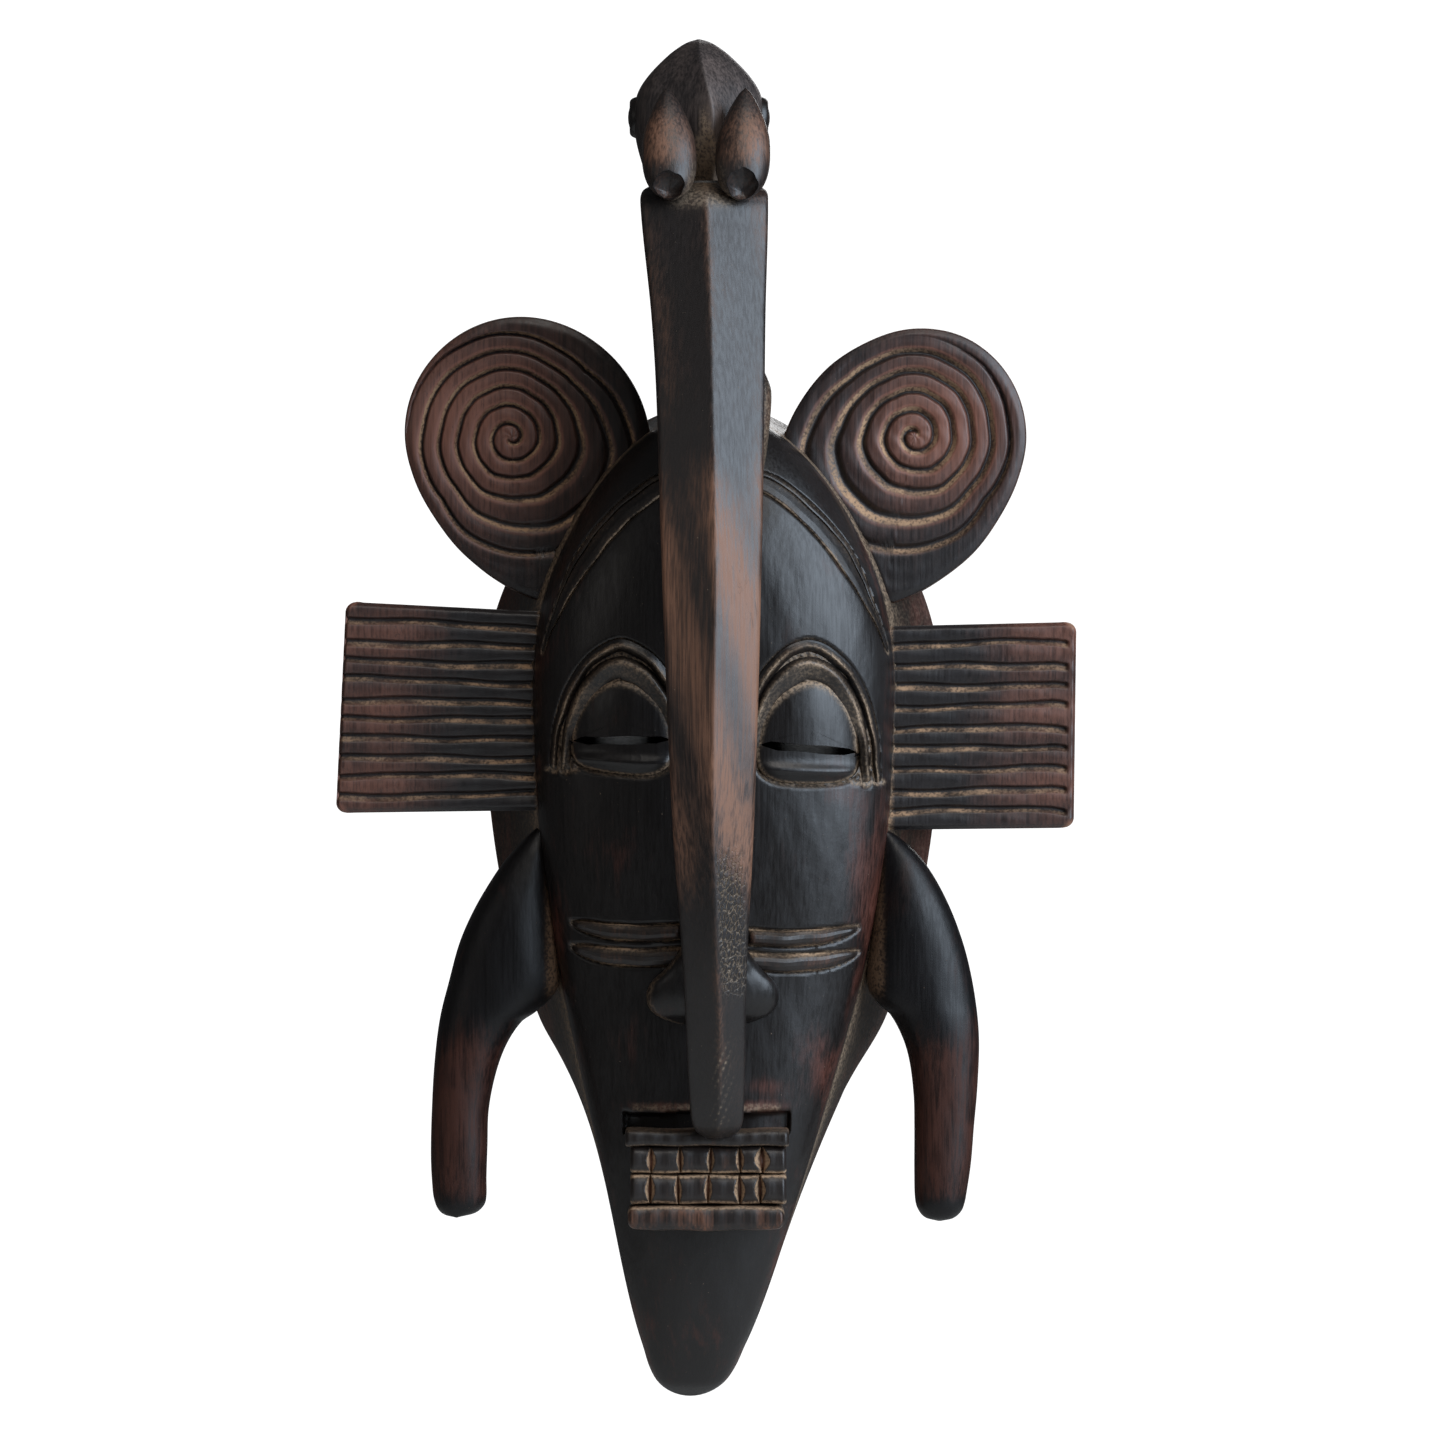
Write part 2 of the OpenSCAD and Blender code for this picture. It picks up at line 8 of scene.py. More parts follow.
import bpy
import numpy as np
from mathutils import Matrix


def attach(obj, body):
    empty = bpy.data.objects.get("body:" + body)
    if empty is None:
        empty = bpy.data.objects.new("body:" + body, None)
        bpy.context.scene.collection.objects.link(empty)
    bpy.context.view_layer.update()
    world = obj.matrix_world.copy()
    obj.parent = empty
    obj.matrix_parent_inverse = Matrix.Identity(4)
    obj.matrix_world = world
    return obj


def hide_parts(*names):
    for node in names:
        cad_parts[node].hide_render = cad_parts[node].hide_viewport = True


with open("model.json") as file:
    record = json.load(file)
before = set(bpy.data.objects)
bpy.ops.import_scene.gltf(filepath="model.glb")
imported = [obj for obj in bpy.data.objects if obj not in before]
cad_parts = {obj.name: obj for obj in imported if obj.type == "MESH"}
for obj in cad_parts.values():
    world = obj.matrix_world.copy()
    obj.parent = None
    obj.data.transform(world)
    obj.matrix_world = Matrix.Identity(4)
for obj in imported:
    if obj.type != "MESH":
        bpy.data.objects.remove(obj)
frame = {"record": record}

MM = 0.001
LEFT, RIGHT = -1, 1
SIDES = ((LEFT, "left"), (RIGHT, "right"))
WELD_GAP = 0.005 * MM     # points closer than this are one point
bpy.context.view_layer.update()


# ---- Curves and small helpers ----

def curve(t, points):
    """Smooth curve through the (key, value) points, read at t."""
    keys, values = np.array(points, float).T
    t = np.clip(np.asarray(t, float), keys[0], keys[-1])
    i = np.clip(np.searchsorted(keys, t) - 1, 0, len(keys) - 2)
    slopes = np.empty_like(values)
    slopes[1:-1] = (values[2:] - values[:-2]) / (keys[2:] - keys[:-2])
    slopes[0] = (values[1] - values[0]) / (keys[1] - keys[0])
    slopes[-1] = (values[-1] - values[-2]) / (keys[-1] - keys[-2])
    h = keys[i + 1] - keys[i]
    u = (t - keys[i]) / h
    v = 1 - u
    return ((1 + 2 * u) * v * v * values[i] + u * v * v * h * slopes[i]
            + u * u * (3 - 2 * u) * values[i + 1] - u * u * v * h * slopes[i + 1])


def mix(a, b, t):
    return a + (b - a) * t


def smooth(t, low=0.0, high=1.0):
    """0 below low, 1 above high and a soft step between them; low may be above high."""
    u = np.clip((t - low) / (high - low), 0, 1)
    return u * u * (3 - 2 * u)


def patch(x, z, at, size):
    """A soft round patch, 1 in its middle."""
    return np.exp(-((x - at[0]) / size[0]) ** 2 - ((z - at[1]) / size[1]) ** 2)


def tool_marks(x, z, deep=0.12):
    """Shallow unevenness that a hand adze and knife leave."""
    return deep * (np.sin(x / 5.3 + z / 9.1) + 0.7 * np.sin(x / 2.9 - z / 6.7 + 1)
                   + 0.5 * np.sin(x / 1.7 + z / 3.9 + 2))


def near_line(x, z, line, half=0.0):
    """Distance from each point to the edge of a strip that runs along [x, z] points, half wide on each side."""
    half = np.broadcast_to(half, len(line))
    best = np.full(np.shape(x), 1e9)
    for (ax, az), (bx, bz), w0, w1 in zip(line[:-1], line[1:], half[:-1], half[1:]):
        dx, dz = bx - ax, bz - az
        u = np.clip(((x - ax) * dx + (z - az) * dz) / (dx * dx + dz * dz), 0, 1)
        best = np.minimum(best, np.hypot(x - ax - u * dx, z - az - u * dz) - mix(w0, w1, u))
    return best


# ---- Sheets: a grid primitive bent into each carved form ----

def sheet(name, points, **masks):
    """Bends a grid to points[row, column] = (x, y, z), welds its seam and poles, and turns its faces outwards."""
    rows, columns = points.shape[:2]
    bpy.ops.object.select_all(action="DESELECT")
    bpy.ops.mesh.primitive_grid_add(x_subdivisions=columns - 1, y_subdivisions=rows - 1, size=1)
    piece = bpy.context.object
    piece.name = piece.data.name = "carved_" + name
    piece.data.vertices.foreach_set("co", (points.reshape(-1, 3) * MM).ravel())
    while piece.data.uv_layers:
        piece.data.uv_layers.remove(piece.data.uv_layers[0])
    for mask in ("wear", "dust", "scaly") if "scaly" in masks else ("wear", "dust"):
        values = np.broadcast_to(masks.get(mask, 0.0), (rows, columns)).astype(np.float32)
        piece.data.attributes.new(mask, "FLOAT", "POINT").data.foreach_set("value", values.ravel())
    weld(piece)
    return piece


def weld(piece):
    bpy.ops.object.select_all(action="DESELECT")
    piece.select_set(True)
    bpy.context.view_layer.objects.active = piece
    bpy.ops.object.mode_set(mode="EDIT")
    bpy.ops.mesh.select_all(action="SELECT")
    bpy.ops.mesh.remove_doubles(threshold=WELD_GAP)
    bpy.ops.mesh.normals_make_consistent(inside=False)
    bpy.ops.object.mode_set(mode="OBJECT")


CAP_STEPS = (0.97, 0.9, 0.75, 0.5, 0.25, 0.0)


def skin(name, rings, cap_steps=CAP_STEPS, **masks):
    """A closed form through rings[level, point]. Both ends are closed towards the middle of their last ring."""
    def shrunk(ring):
        middle = ring.mean(axis=0)
        return [middle + (ring - middle) * s for s in cap_steps]
    first, last = shrunk(rings[0]), shrunk(rings[-1])
    points = np.concatenate([np.array(first[::-1]), rings, np.array(last)])
    wrapped = np.concatenate([points, points[:, :1]], axis=1)
    full = {}
    for key, value in masks.items():
        value = np.broadcast_to(value, rings.shape[:2])
        n = len(cap_steps)
        value = np.concatenate([np.repeat(value[:1], n, 0), value, np.repeat(value[-1:], n, 0)])
        full[key] = np.concatenate([value, value[:, :1]], axis=1)
    return sheet(name, wrapped, **full)


def cut(piece, tools):
    """Cuts the tools out of a piece, then throws the tools away."""
    for tool in tools:
        bpy.ops.object.select_all(action="DESELECT")
        bpy.context.view_layer.objects.active = piece
        piece.select_set(True)
        cutter = piece.modifiers.new("cut", "BOOLEAN")
        cutter.object = tool
        cutter.solver = "EXACT"
        bpy.ops.object.modifier_apply(modifier=cutter.name)
        bpy.data.objects.remove(tool)


def finish_piece(piece, material, slot, *nodes, angle=50):
    """Smooth shading with crisp edges, the finish, and the place in the frame."""
    bpy.ops.object.select_all(action="DESELECT")
    piece.select_set(True)
    bpy.context.view_layer.objects.active = piece
    bpy.ops.object.shade_smooth_by_angle(angle=math.radians(angle))
    piece.data.materials.clear()
    piece.data.materials.append(material)
    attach(piece, "root")
    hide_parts(*nodes)
    return piece


# ---- Finishes ----

def linear(hex_colour):
    """sRGB hex to linear RGBA."""
    parts = [int(hex_colour[i:i + 2], 16) / 255 for i in (1, 3, 5)]
    return tuple(c / 12.92 if c <= 0.04045 else ((c + 0.055) / 1.055) ** 2.4 for c in parts) + (1.0,)


def add(tree, kind, inputs=None, **settings):
    """Adds one shader node with its settings, and its inputs as values or as links."""
    new = tree.nodes.new("ShaderNode" + kind)
    for name, value in settings.items():
        setattr(new, name, value)
    for name, value in (inputs or {}).items():
        if isinstance(value, bpy.types.NodeSocket):
            tree.links.new(value, new.inputs[name])
        else:
            new.inputs[name].default_value = value
    return new


# Pores and fibres of a tropical hardwood are 0.1 to 0.2 mm wide; they are drawn coarser here so that they show
FIBRE_WIDTH, FIBRE_LENGTH = 0.65 * MM, 24 * MM
STREAK_WIDTH, STREAK_LENGTH = 2.4 * MM, 60 * MM    # broader bands of denser wood
CHECK_WIDTH, CHECK_LENGTH = 4 * MM, 30 * MM        # spacing of the hairline cracks that drying leaves
SCALE_WIDTH, SCALE_LENGTH = 1.1 * MM, 2.6 * MM     # cells of the crackled wax low on the beak
BLOTCH = 15 * MM      # where the stain took unevenly
GRIT = 0.9 * MM       # crumbs of dust and old wax, drawn about twice as coarse as real ones so that they show
KNIFE = 6 * MM        # flats that a knife leaves


def carved_hardwood(name, stain, rubbed, dust, roughness=0.4, grain_depth=0.1, grain_show=0.4, mottle=1.0, ior=1.5,
                    rough_patch=0.0):
    """Hardwood cut with knife and adze, stained black, waxed and handled.

    The stain hides the grain except as fine upright streaks. `wear` bares the red-brown wood on what hands reach,
    and on the right facets of the beak and the head some of it paints the lit side lighter. `dust` is the pale dirt
    that stays in cuts, broken into crumbs and duller than the wax; on the combs' lower groove walls and along the
    lower lids' slit edges it is also a painted highlight. `scaly` is where the wax has crackled.
    """
    material = bpy.data.materials.new(name)
    material.use_nodes = True
    tree = material.node_tree
    tree.nodes.clear()
    wood_place = add(tree, "TexCoord").outputs["Object"]

    def noise(width, length, detail, distortion=0.0):
        scaled = add(tree, "Mapping", {"Vector": wood_place, "Scale": (1 / width, 1 / width, 1 / length)})
        return add(tree, "TexNoise", {"Vector": scaled.outputs[0], "Scale": 1.0, "Detail": detail,
                                      "Roughness": 0.6, "Distortion": distortion}).outputs["Fac"]

    def band(value, low, high, to_low=0.0, to_high=1.0):
        return add(tree, "MapRange", {"Value": value, "From Min": low, "From Max": high, "To Min": to_low,
                                      "To Max": to_high}, interpolation_type="SMOOTHSTEP").outputs[0]

    def maths(operation, a, b=0.0, c=0.0, use_clamp=False):
        return add(tree, "Math", {0: a, 1: b, 2: c}, operation=operation, use_clamp=use_clamp).outputs[0]

    def blend(factor, a, b, blend_type="MIX"):
        mixed = add(tree, "Mix", {"Factor": factor, "A": a, "B": b}, data_type="RGBA", blend_type=blend_type)
        return mixed.outputs["Result"]

    fibres = noise(FIBRE_WIDTH, FIBRE_LENGTH, 3.0)
    streaks = noise(STREAK_WIDTH, STREAK_LENGTH, 4.0, 0.4)
    blotch = noise(BLOTCH, BLOTCH * 1.6, 5.0, 0.6)
    grit = noise(GRIT, GRIT, 3.0)
    knife = noise(KNIFE, KNIFE * 2, 2.0)
    hairline = noise(CHECK_WIDTH, CHECK_LENGTH, 3.0, 1.2)
    wear = add(tree, "Attribute", attribute_name="wear").outputs["Fac"]
    in_cuts = add(tree, "Attribute", attribute_name="dust").outputs["Fac"]

    # Bare wood shows where the handling, the uneven stain and the streaks add up
    uneven = maths("ADD", band(blotch, 0.36, 0.72, -0.34, 0.2), band(streaks, 0.36, 0.68, -0.12, 0.14))
    uneven = maths("MULTIPLY", uneven, mottle)
    fine = band(fibres, 0.34, 0.68, -grain_show / 2, grain_show / 2)
    bare = maths("MULTIPLY_ADD", wear, maths("ADD", fine, 1.15), maths("MULTIPLY_ADD", fine, 0.2, uneven))
    colour = blend(band(bare, 0.05, 1.2), linear(stain), linear(rubbed))
    colour = blend(0.45, colour, band(fibres, 0.3, 0.5, 0.45, 1.0), "MULTIPLY")

    # Hairline checks along the grain, and crumbs of dust that lie anywhere
    checks = maths("MULTIPLY", band(maths("ABSOLUTE", maths("SUBTRACT", hairline, 0.5)), 0.0, 0.006, 1.0, 0.0),
                   band(blotch, 0.45, 0.6, 0.0, 0.5))
    colour = blend(checks, colour, linear("#0a0808"))
    loose = band(grit, 0.735, 0.76, 0.0, 0.45)
    clumped = maths("ADD", grit, maths("MULTIPLY", in_cuts, 0.14))
    broken = maths("MULTIPLY", in_cuts, band(clumped, 0.44, 0.68, 0.22, 1.0))
    dusty = maths("MAXIMUM", broken, loose, use_clamp=True)
    colour = blend(dusty, colour, linear(dust))

    gloss = band(fibres, 0.3, 0.7, roughness - 0.04, roughness + 0.08)
    gloss = maths("MULTIPLY_ADD", band(bare, 0.3, 1.2), 0.12, gloss)
    gloss = maths("MULTIPLY_ADD", dusty, 0.38, gloss, use_clamp=True)

    def bump(strength, distance, height, below=None):
        inputs = {"Strength": strength, "Distance": distance * MM, "Height": height}
        return add(tree, "Bump", inputs if below is None else {**inputs, "Normal": below}).outputs[0]

    normal = bump(0.5, 0.5, knife)
    normal = bump(0.5, grain_depth, fibres, normal)
    normal = bump(0.35, 0.2, maths("MULTIPLY", grit, maths("ADD", dusty, 0.3)), normal)
    if rough_patch:
        cells = add(tree, "Mapping", {"Vector": wood_place,
                                      "Scale": (1 / SCALE_WIDTH, 1 / SCALE_WIDTH, 1 / SCALE_LENGTH)})
        flakes = add(tree, "TexVoronoi", {"Vector": cells.outputs[0], "Scale": 1.0, "Randomness": 1.0},
                     feature="DISTANCE_TO_EDGE").outputs["Distance"]
        scaly = add(tree, "Attribute", attribute_name="scaly").outputs["Fac"]
        edges = maths("MULTIPLY", band(flakes, 0.0, 0.2, 1.0, 0.0), maths("MULTIPLY", scaly, band(grit, 0.36, 0.6)))
        normal = bump(0.9, rough_patch, maths("SUBTRACT", 1.0, edges), normal)
        colour = blend(maths("MULTIPLY", edges, 0.4), colour, linear(dust))
    shader = add(tree, "BsdfPrincipled", {"Base Color": colour, "Roughness": gloss, "IOR": ior, "Normal": normal})
    add(tree, "OutputMaterial", {"Surface": shader.outputs[0]})
    return material


# Face, brows, lids, nose and neck: stained black and waxed, a deep satin sheen with little grain to be seen
black_waxed = carved_hardwood("black_waxed_hardwood", "#110d0c", "#4a261c", "#a08870", roughness=0.36,
                              grain_depth=0.05, ior=1.46)
# Beak and ears: black rubbed away to warm brown by hands, with upright fibres that catch the light
rubbed_beak = carved_hardwood("rubbed_beak_hardwood", "#191413", "#77533f", "#a8937c", roughness=0.42,
                              grain_depth=0.14, grain_show=0.5, mottle=0.25, rough_patch=0.45)
# Discs and combs: dark wood rubbed reddish, duller, with pale dust lying in every groove; on the combs' lower groove
# walls the dust is laid on as a painted highlight too
dusty_carved = carved_hardwood("dusty_carved_hardwood", "#181313", "#764b3c", "#9f7f62", roughness=0.44,
                               grain_depth=0.09, grain_show=0.22, mottle=0.28)
# The bird's head: the same black gone grey and dry with age, half dull
greyed_crest = carved_hardwood("greyed_crest_hardwood", "#1f1b1b", "#6b5d57", "#a08870", roughness=0.46,
                               grain_depth=0.09, mottle=0.4)
# Mouth rows and cheek bars: knife-cut edges rubbed brown against the black
mouth_wood = carved_hardwood("mouth_hardwood", "#1b1411", "#6e4631", "#a3866a", roughness=0.42, grain_depth=0.07)
# Legs: the darkest stain and the least wax, nearly matt above and rubbed at the ends
leg_wood = carved_hardwood("leg_hardwood", "#090708", "#3a1e15", "#6a523e", roughness=0.42, grain_depth=0.06, ior=1.36)
# Rim: unstained, unwaxed wood darkened by age, dry and matt with open grain
bare_rim = carved_hardwood("bare_rim_hardwood", "#241b15", "#5e4632", "#7d6248", roughness=0.6, grain_depth=0.2,
                           grain_show=0.8)


# ---- The face's form ----

FACE_HALF_W, FACE_TOP, CHIN_TIP, FACE_MID = 53, 108, -184.5, 15
RIM_HALF_W, RIM_TOP, RIM_BOTTOM, RIM_MIDDLE, RIM_DEPTH, RIM_WALL = 67.5, 111, -140, -0.8, 14, 8
HOLLOW_HALF_W, HOLLOW_UP, HOLLOW_DOWN, HOLLOW_FRONT = 45, 85, 113, 34    # where the rim's inner slope ends
FACE_WALL = 8      # wood left between the hollow and the face
# How full each outline is against a plain oval, as (degrees from its top, share)
FACE_FULLNESS = [(0, 0.87), (30, 0.955), (50, 0.998), (67, 1.03), (90, 1), (105, 0.955), (126, 0.79), (140, 0.727),
                 (157, 0.745), (163, 0.82), (169, 0.92), (175, 0.97), (180, 0.98)]
RIM_FULLNESS = [(0, 0.97), (20, 0.98), (62, 1.07), (90, 1), (121, 0.9), (133, 0.79), (180, 0.75)]
# How far the middle and the edge stand in front of the wall, as (height, depth)
FACE_PROFILE = [(-184.5, 30), (-180, 36), (-165, 43), (-140, 49), (-105, 54), (-60, 57), (-20, 61), (10, 62), (40, 65),
                (65, 64), (85, 59), (98, 52), (104, 46.5), (108, 38)]
EDGE_PROFILE = [(-184.5, 30), (-150, 35), (-100, 38), (108, 38)]
EYE_X, EYE_Z = 27.5, 7.5


def lean(z):
    return np.where(z < 0, -0.4 - 7 * (z / CHIN_TIP) ** 2, -0.4)


def sin_deg(a):
    return np.sin(np.radians(a))


def cos_deg(a):
    return np.cos(np.radians(a))


def reshaped(wave, power):
    """A sine or cosine with its sign kept: a power below 1 squares an oval off, and above 1 points it."""
    return np.sign(wave) * np.abs(wave) ** power


def face_outline(a, side, inset=0.0):
    """[x, z] of the face's edge at angle a from its top."""
    z = FACE_MID + cos_deg(a) * np.where(a < 90, FACE_TOP - inset - FACE_MID, FACE_MID - CHIN_TIP - inset)
    return lean(z) + side * (FACE_HALF_W - inset) * sin_deg(a) * curve(a, FACE_FULLNESS), z


def rim_outline(a, side, inset=0.0):
    z = cos_deg(a) * np.where(a < 90, RIM_TOP - inset, -RIM_BOTTOM - inset)
    return RIM_MIDDLE + side * (RIM_HALF_W - inset) * sin_deg(a) * curve(a, RIM_FULLNESS), z


def face_half(z):
    """Half-width of the face at height z."""
    reach = np.where(z > FACE_MID, FACE_TOP - FACE_MID, FACE_MID - CHIN_TIP)
    a = np.degrees(np.arccos(np.clip((z - FACE_MID) / reach, -1, 1)))
    return FACE_HALF_W * sin_deg(a) * curve(a, FACE_FULLNESS)


def depth(x, z):
    """How far the smooth face stands in front of the wall at [x, z]."""
    r = np.clip(np.abs(x - lean(z)) / np.maximum(face_half(z), 0.01), 0, 1)
    edge = curve(z, EDGE_PROFILE)
    return edge + (curve(z, FACE_PROFILE) - edge) * np.sqrt(1 - r ** 2.4)


EYE_FOOT = {LEFT: 1.8, RIGHT: -2.0}    # where the brows and the lower lids end


def arch(side, rx, rz, steps=56):
    """A slightly pointed arch over one eye, from its straight outer foot to its inner end."""
    a = np.linspace(0, 172, steps)
    x = EYE_X + rx * reshaped(cos_deg(a), 1.2)
    foot_z = np.linspace(EYE_FOOT[side], EYE_Z - 4, 6)[:-1] if EYE_FOOT[side] < EYE_Z - 4 else np.zeros(0)
    foot_x = EYE_X + rx + 0.12 * (EYE_Z - 4 - foot_z)
    return np.stack([side * np.concatenate([foot_x, x]), np.concatenate([foot_z, EYE_Z - 4 + rz * sin_deg(a)])], 1)


# The forehead band's middle line as (distance from the middle, height)
BAND_LINE = [(0, 88.2), (15, 85.6), (24.5, 79.2), (31.3, 72.6), (36.5, 66.3), (42, 57.6), (46, 49.3), (49.3, 41.5),
             (51, 36)]
band_x = 51 * np.sign(np.linspace(-1, 1, 121)) * np.abs(np.linspace(-1, 1, 121)) ** 0.75
band_path = np.stack([band_x, curve(np.abs(band_x), BAND_LINE)], 1)


def bar_path(side, z):
    """A bar across one cheek, which sags a little and turns up at its outer end."""
    x = np.linspace(9, 42, 50)
    t = (x - 9) / 33
    return np.stack([side * x, z - 0.8 * sin_deg(180 * t) + 2.4 * t ** 4 - side * 0.8], 1)


# What is carved along each strip, across it from its upper or inner edge to the other: (place, rise in mm, dust)
BAND_FORM = [(-1, -1.1, 0.1), (-0.88, 0.25, 0.1), (-0.7, 0.45, 0.15), (-0.56, 0.3, 0.1), (-0.48, -0.35, 0.2),
             (-0.38, 0.4, 0.1), (0.2, 0.6, 0.0), (0.72, 0.5, 0.1), (0.86, 0.2, 0.8), (0.95, -0.2, 0.9), (1, -1.1, 0.6)]
OUTER_BROW_FORM = [(-1, -1.6, 0.1), (-0.7, -1.3, 0.0), (-0.3, 0.2, 0.1), (-0.05, 1.05, 0.55), (0.1, 1.25, 0.9),
                   (0.25, 1.0, 0.5), (0.6, 0.45, 0.0), (0.9, 0.1, 0.0), (1, -0.4, 0.1)]
INNER_BROW_FORM = [(-1, -1.5, 0.1), (-0.86, -1.2, 0.1), (-0.5, -0.35, 0.28), (-0.1, 0.35, 0.22), (0.15, 0.85, 0.4),
                   (0.32, 1.1, 0.75), (0.5, 0.9, 0.5), (0.75, -0.4, 0.1), (0.88, -1.2, 0.0), (1, -1.6, 0.0)]
UPPER_BAR_FORM = [(-1, -1.4, 1.0), (-0.86, -0.5, 0.9), (-0.7, 0.9, 0.3), (-0.3, 1.8, 0.05), (0.1, 2.0, 0.0),
                  (0.5, 1.6, 0.0), (0.78, 0.6, 0.2), (0.9, -0.6, 0.8), (1, -1.4, 1.0)]
LOWER_BAR_FORM = [(-1, -1.4, 1.0), (-0.8, -0.3, 0.95), (-0.5, 0.8, 0.25), (-0.1, 1.3, 0.0), (0.3, 1.2, 0.0),
                  (0.7, 0.6, 0.0), (0.88, -0.3, 0.6), (1, -1.4, 0.8)]

# Raised strips that lie on the face: path, half-width along it, form across it, and which way across counts as forward
thin_ends = 2.75 * smooth(np.abs(band_x), 53, 36) + 0.4
bar_taper = 1 - 0.7 * np.linspace(0, 1, 50) ** 7
strips = {"forehead_band": (band_path, thin_ends, BAND_FORM, 1)}
for side, word in SIDES:
    outer_path, inner_path = arch(side, 19.7, 34.4), arch(side, 16.3, 28.2)
    rise_share = smooth(outer_path[:, 1], 4, 34)
    strips["outer_brow_" + word] = (outer_path, 1.35 + 0.85 * rise_share, OUTER_BROW_FORM, side)
    rise_share = smooth(inner_path[:, 1], 4, 30)
    strips["inner_brow_" + word] = (inner_path, 1.75 + 1.9 * rise_share, INNER_BROW_FORM, side)
    strips["upper_cheek_bar_" + word] = (bar_path(side, -46.4), 2.6 * bar_taper, UPPER_BAR_FORM, side)
    strips["lower_cheek_bar_" + word] = (bar_path(side, -53.6), 2.9 * bar_taper, LOWER_BAR_FORM, side)

TRENCH = 1.3       # depth of the groove round each raised strip
LID_X, LID_OUTER, LID_INNER, LID_TOP = 28.4, 14.2, 16.5, 27.8


def slit(x, side):
    """Height of the eye slit's middle line."""
    return 10.3 - 0.01 * (np.abs(x) - 27) if side == LEFT else 9.0 - 0.08 * (np.abs(x) - 12.7)


def lid_floor(x, side):
    """Height of the lower lid's bottom edge."""
    return mix(-0.3, 2.0, smooth(np.abs(x), 18, 44)) if side == LEFT else -2.5 + 0.02 * np.abs(np.abs(x) - 28)


def lid_arc(side, upper, grow=0.0, steps=72):
    """The lid's outline from its outer end, over or under the eye, to its inner end."""
    a = np.linspace(0, 180, steps + 1)
    reach = np.where(cos_deg(a) > 0, LID_OUTER, LID_INNER) + grow
    power = (1.15, 1.0) if upper else (0.55, 0.6)
    x = side * (LID_X + reach * reshaped(cos_deg(a), power[0]))
    far = LID_TOP + grow if upper else lid_floor(x, side) - grow
    base = slit(x, side)
    return np.stack([x, base + (far - base) * np.abs(sin_deg(a)) ** power[1]], 1)


def carve_face(x, z):
    """Depth that the carving takes off the smooth face, and the dust left in it."""
    cutting = np.zeros(np.shape(x))
    for path, half, _, _ in strips.values():
        cutting = np.maximum(cutting, TRENCH * smooth(near_line(x, z, path, half), 0.35, -0.5))
    dust = 0.6 * smooth(cutting, 0.25, 1.0)
    for side in (LEFT, RIGHT):
        for upper in (True, False):
            edge = near_line(x, z, lid_arc(side, upper, steps=40))
            cutting = np.maximum(cutting, 1.5 * smooth(edge, 1.3, 0.2))
            dust = np.maximum(dust, (0.7 if upper else 0.4) * smooth(edge, 1.5, 0.3))
        foot = EYE_FOOT[side]
        scratch = near_line(x, z, [(side * 40.5, foot - 0.2), (side * 49.6, foot)])
        cutting = np.maximum(cutting, 0.7 * smooth(scratch, 0.9, 0.1))
        dust = np.maximum(dust, 0.6 * smooth(scratch, 1.1, 0.3))
    # A shallow recess and a dusty ledge above the mouth
    recess = (smooth(z + 0.4 * np.sin(x / 4.1), -98.7, -100.0) * smooth(z, -106, -104.8)
              * smooth(x, -27.4, -26.2) * smooth(x, 22.4, 21.2))
    cutting = cutting + mix(4.2, 2.6, smooth(x, -8, 14)) * recess
    ledge = smooth(np.abs(z + 97.6), 1.3, 0.5) * smooth(x, -25, -23) * smooth(x, 20, 18)
    return cutting, np.maximum(dust, 0.45 * ledge)


# ---- Face: outside, rim edge and hollow in one closed skin ----

def spread(stops, spacing):
    """Values from the first stop to the last, evenly spaced within each stretch."""
    values = [stops[0]]
    for a, b, step in zip(stops[:-1], stops[1:], spacing):
        n = max(1, round(abs(b - a) / step))
        values.extend(a + (b - a) * (k + 1) / n for k in range(n))
    return np.array(values)


fine_angles = np.linspace(0, 180, 2000)
edge_x, edge_z = face_outline(fine_angles, RIGHT)
edge_length = np.concatenate([[0], np.cumsum(np.hypot(np.diff(edge_x), np.diff(edge_z)))])


def length_at(z):
    return float(np.interp(-z, -edge_z, edge_length))


row_lengths = spread([0, length_at(93), length_at(-62), length_at(-96), length_at(-108), edge_length[-1]],
                     [1.1, 0.7, 1.2, 0.8, 1.5])
row_angles = np.interp(row_lengths, edge_length, fine_angles)[:, None]
across = spread([-1, -0.2, 0.2, 1], [0.0112, 0.035, 0.0112])
across = 0.82 * across + 0.18 * np.sin(across * math.pi / 2)

_, row_z = face_outline(row_angles, RIGHT)
face_x = lean(row_z) + face_half(row_z) * across[None, :]
face_z = np.broadcast_to(row_z, face_x.shape)
carved, face_dust = carve_face(face_x, face_z)
face_y = -(depth(face_x, face_z) - carved + tool_marks(face_x, face_z, 0.07))
face_points = np.stack([face_x, face_y, face_z], -1)


def flare(side, steps=20):
    """The wall between the face's edge and the rim, wider towards the back."""
    t = np.linspace(0, 1, steps + 1)[None, 1:]
    ex, ez = face_outline(row_angles, side)
    rx, rz = rim_outline(row_angles, side)
    under = np.maximum(0, -cos_deg(row_angles)) ** 6
    bow = t + 0.10 * np.sin(t * math.pi)
    share = np.where(t < 0.5, t * 2 * (0.5 - 0.42 * under),
                     0.5 - 0.42 * under + (t - 0.5) * 2 * (0.5 + 0.42 * under))
    x, z = mix(ex, rx, share), mix(ez, rz, share)
    y = -mix(curve(ez, EDGE_PROFILE), RIM_DEPTH, bow)
    y = mix(y, -mix(30, RIM_DEPTH, smooth(t, 0, 1)), under)
    return np.stack([x, y, z], -1)


right_flare = flare(RIGHT)
left_flare = flare(LEFT)[:, ::-1]
outside = np.concatenate([left_flare, face_points, right_flare], 1)


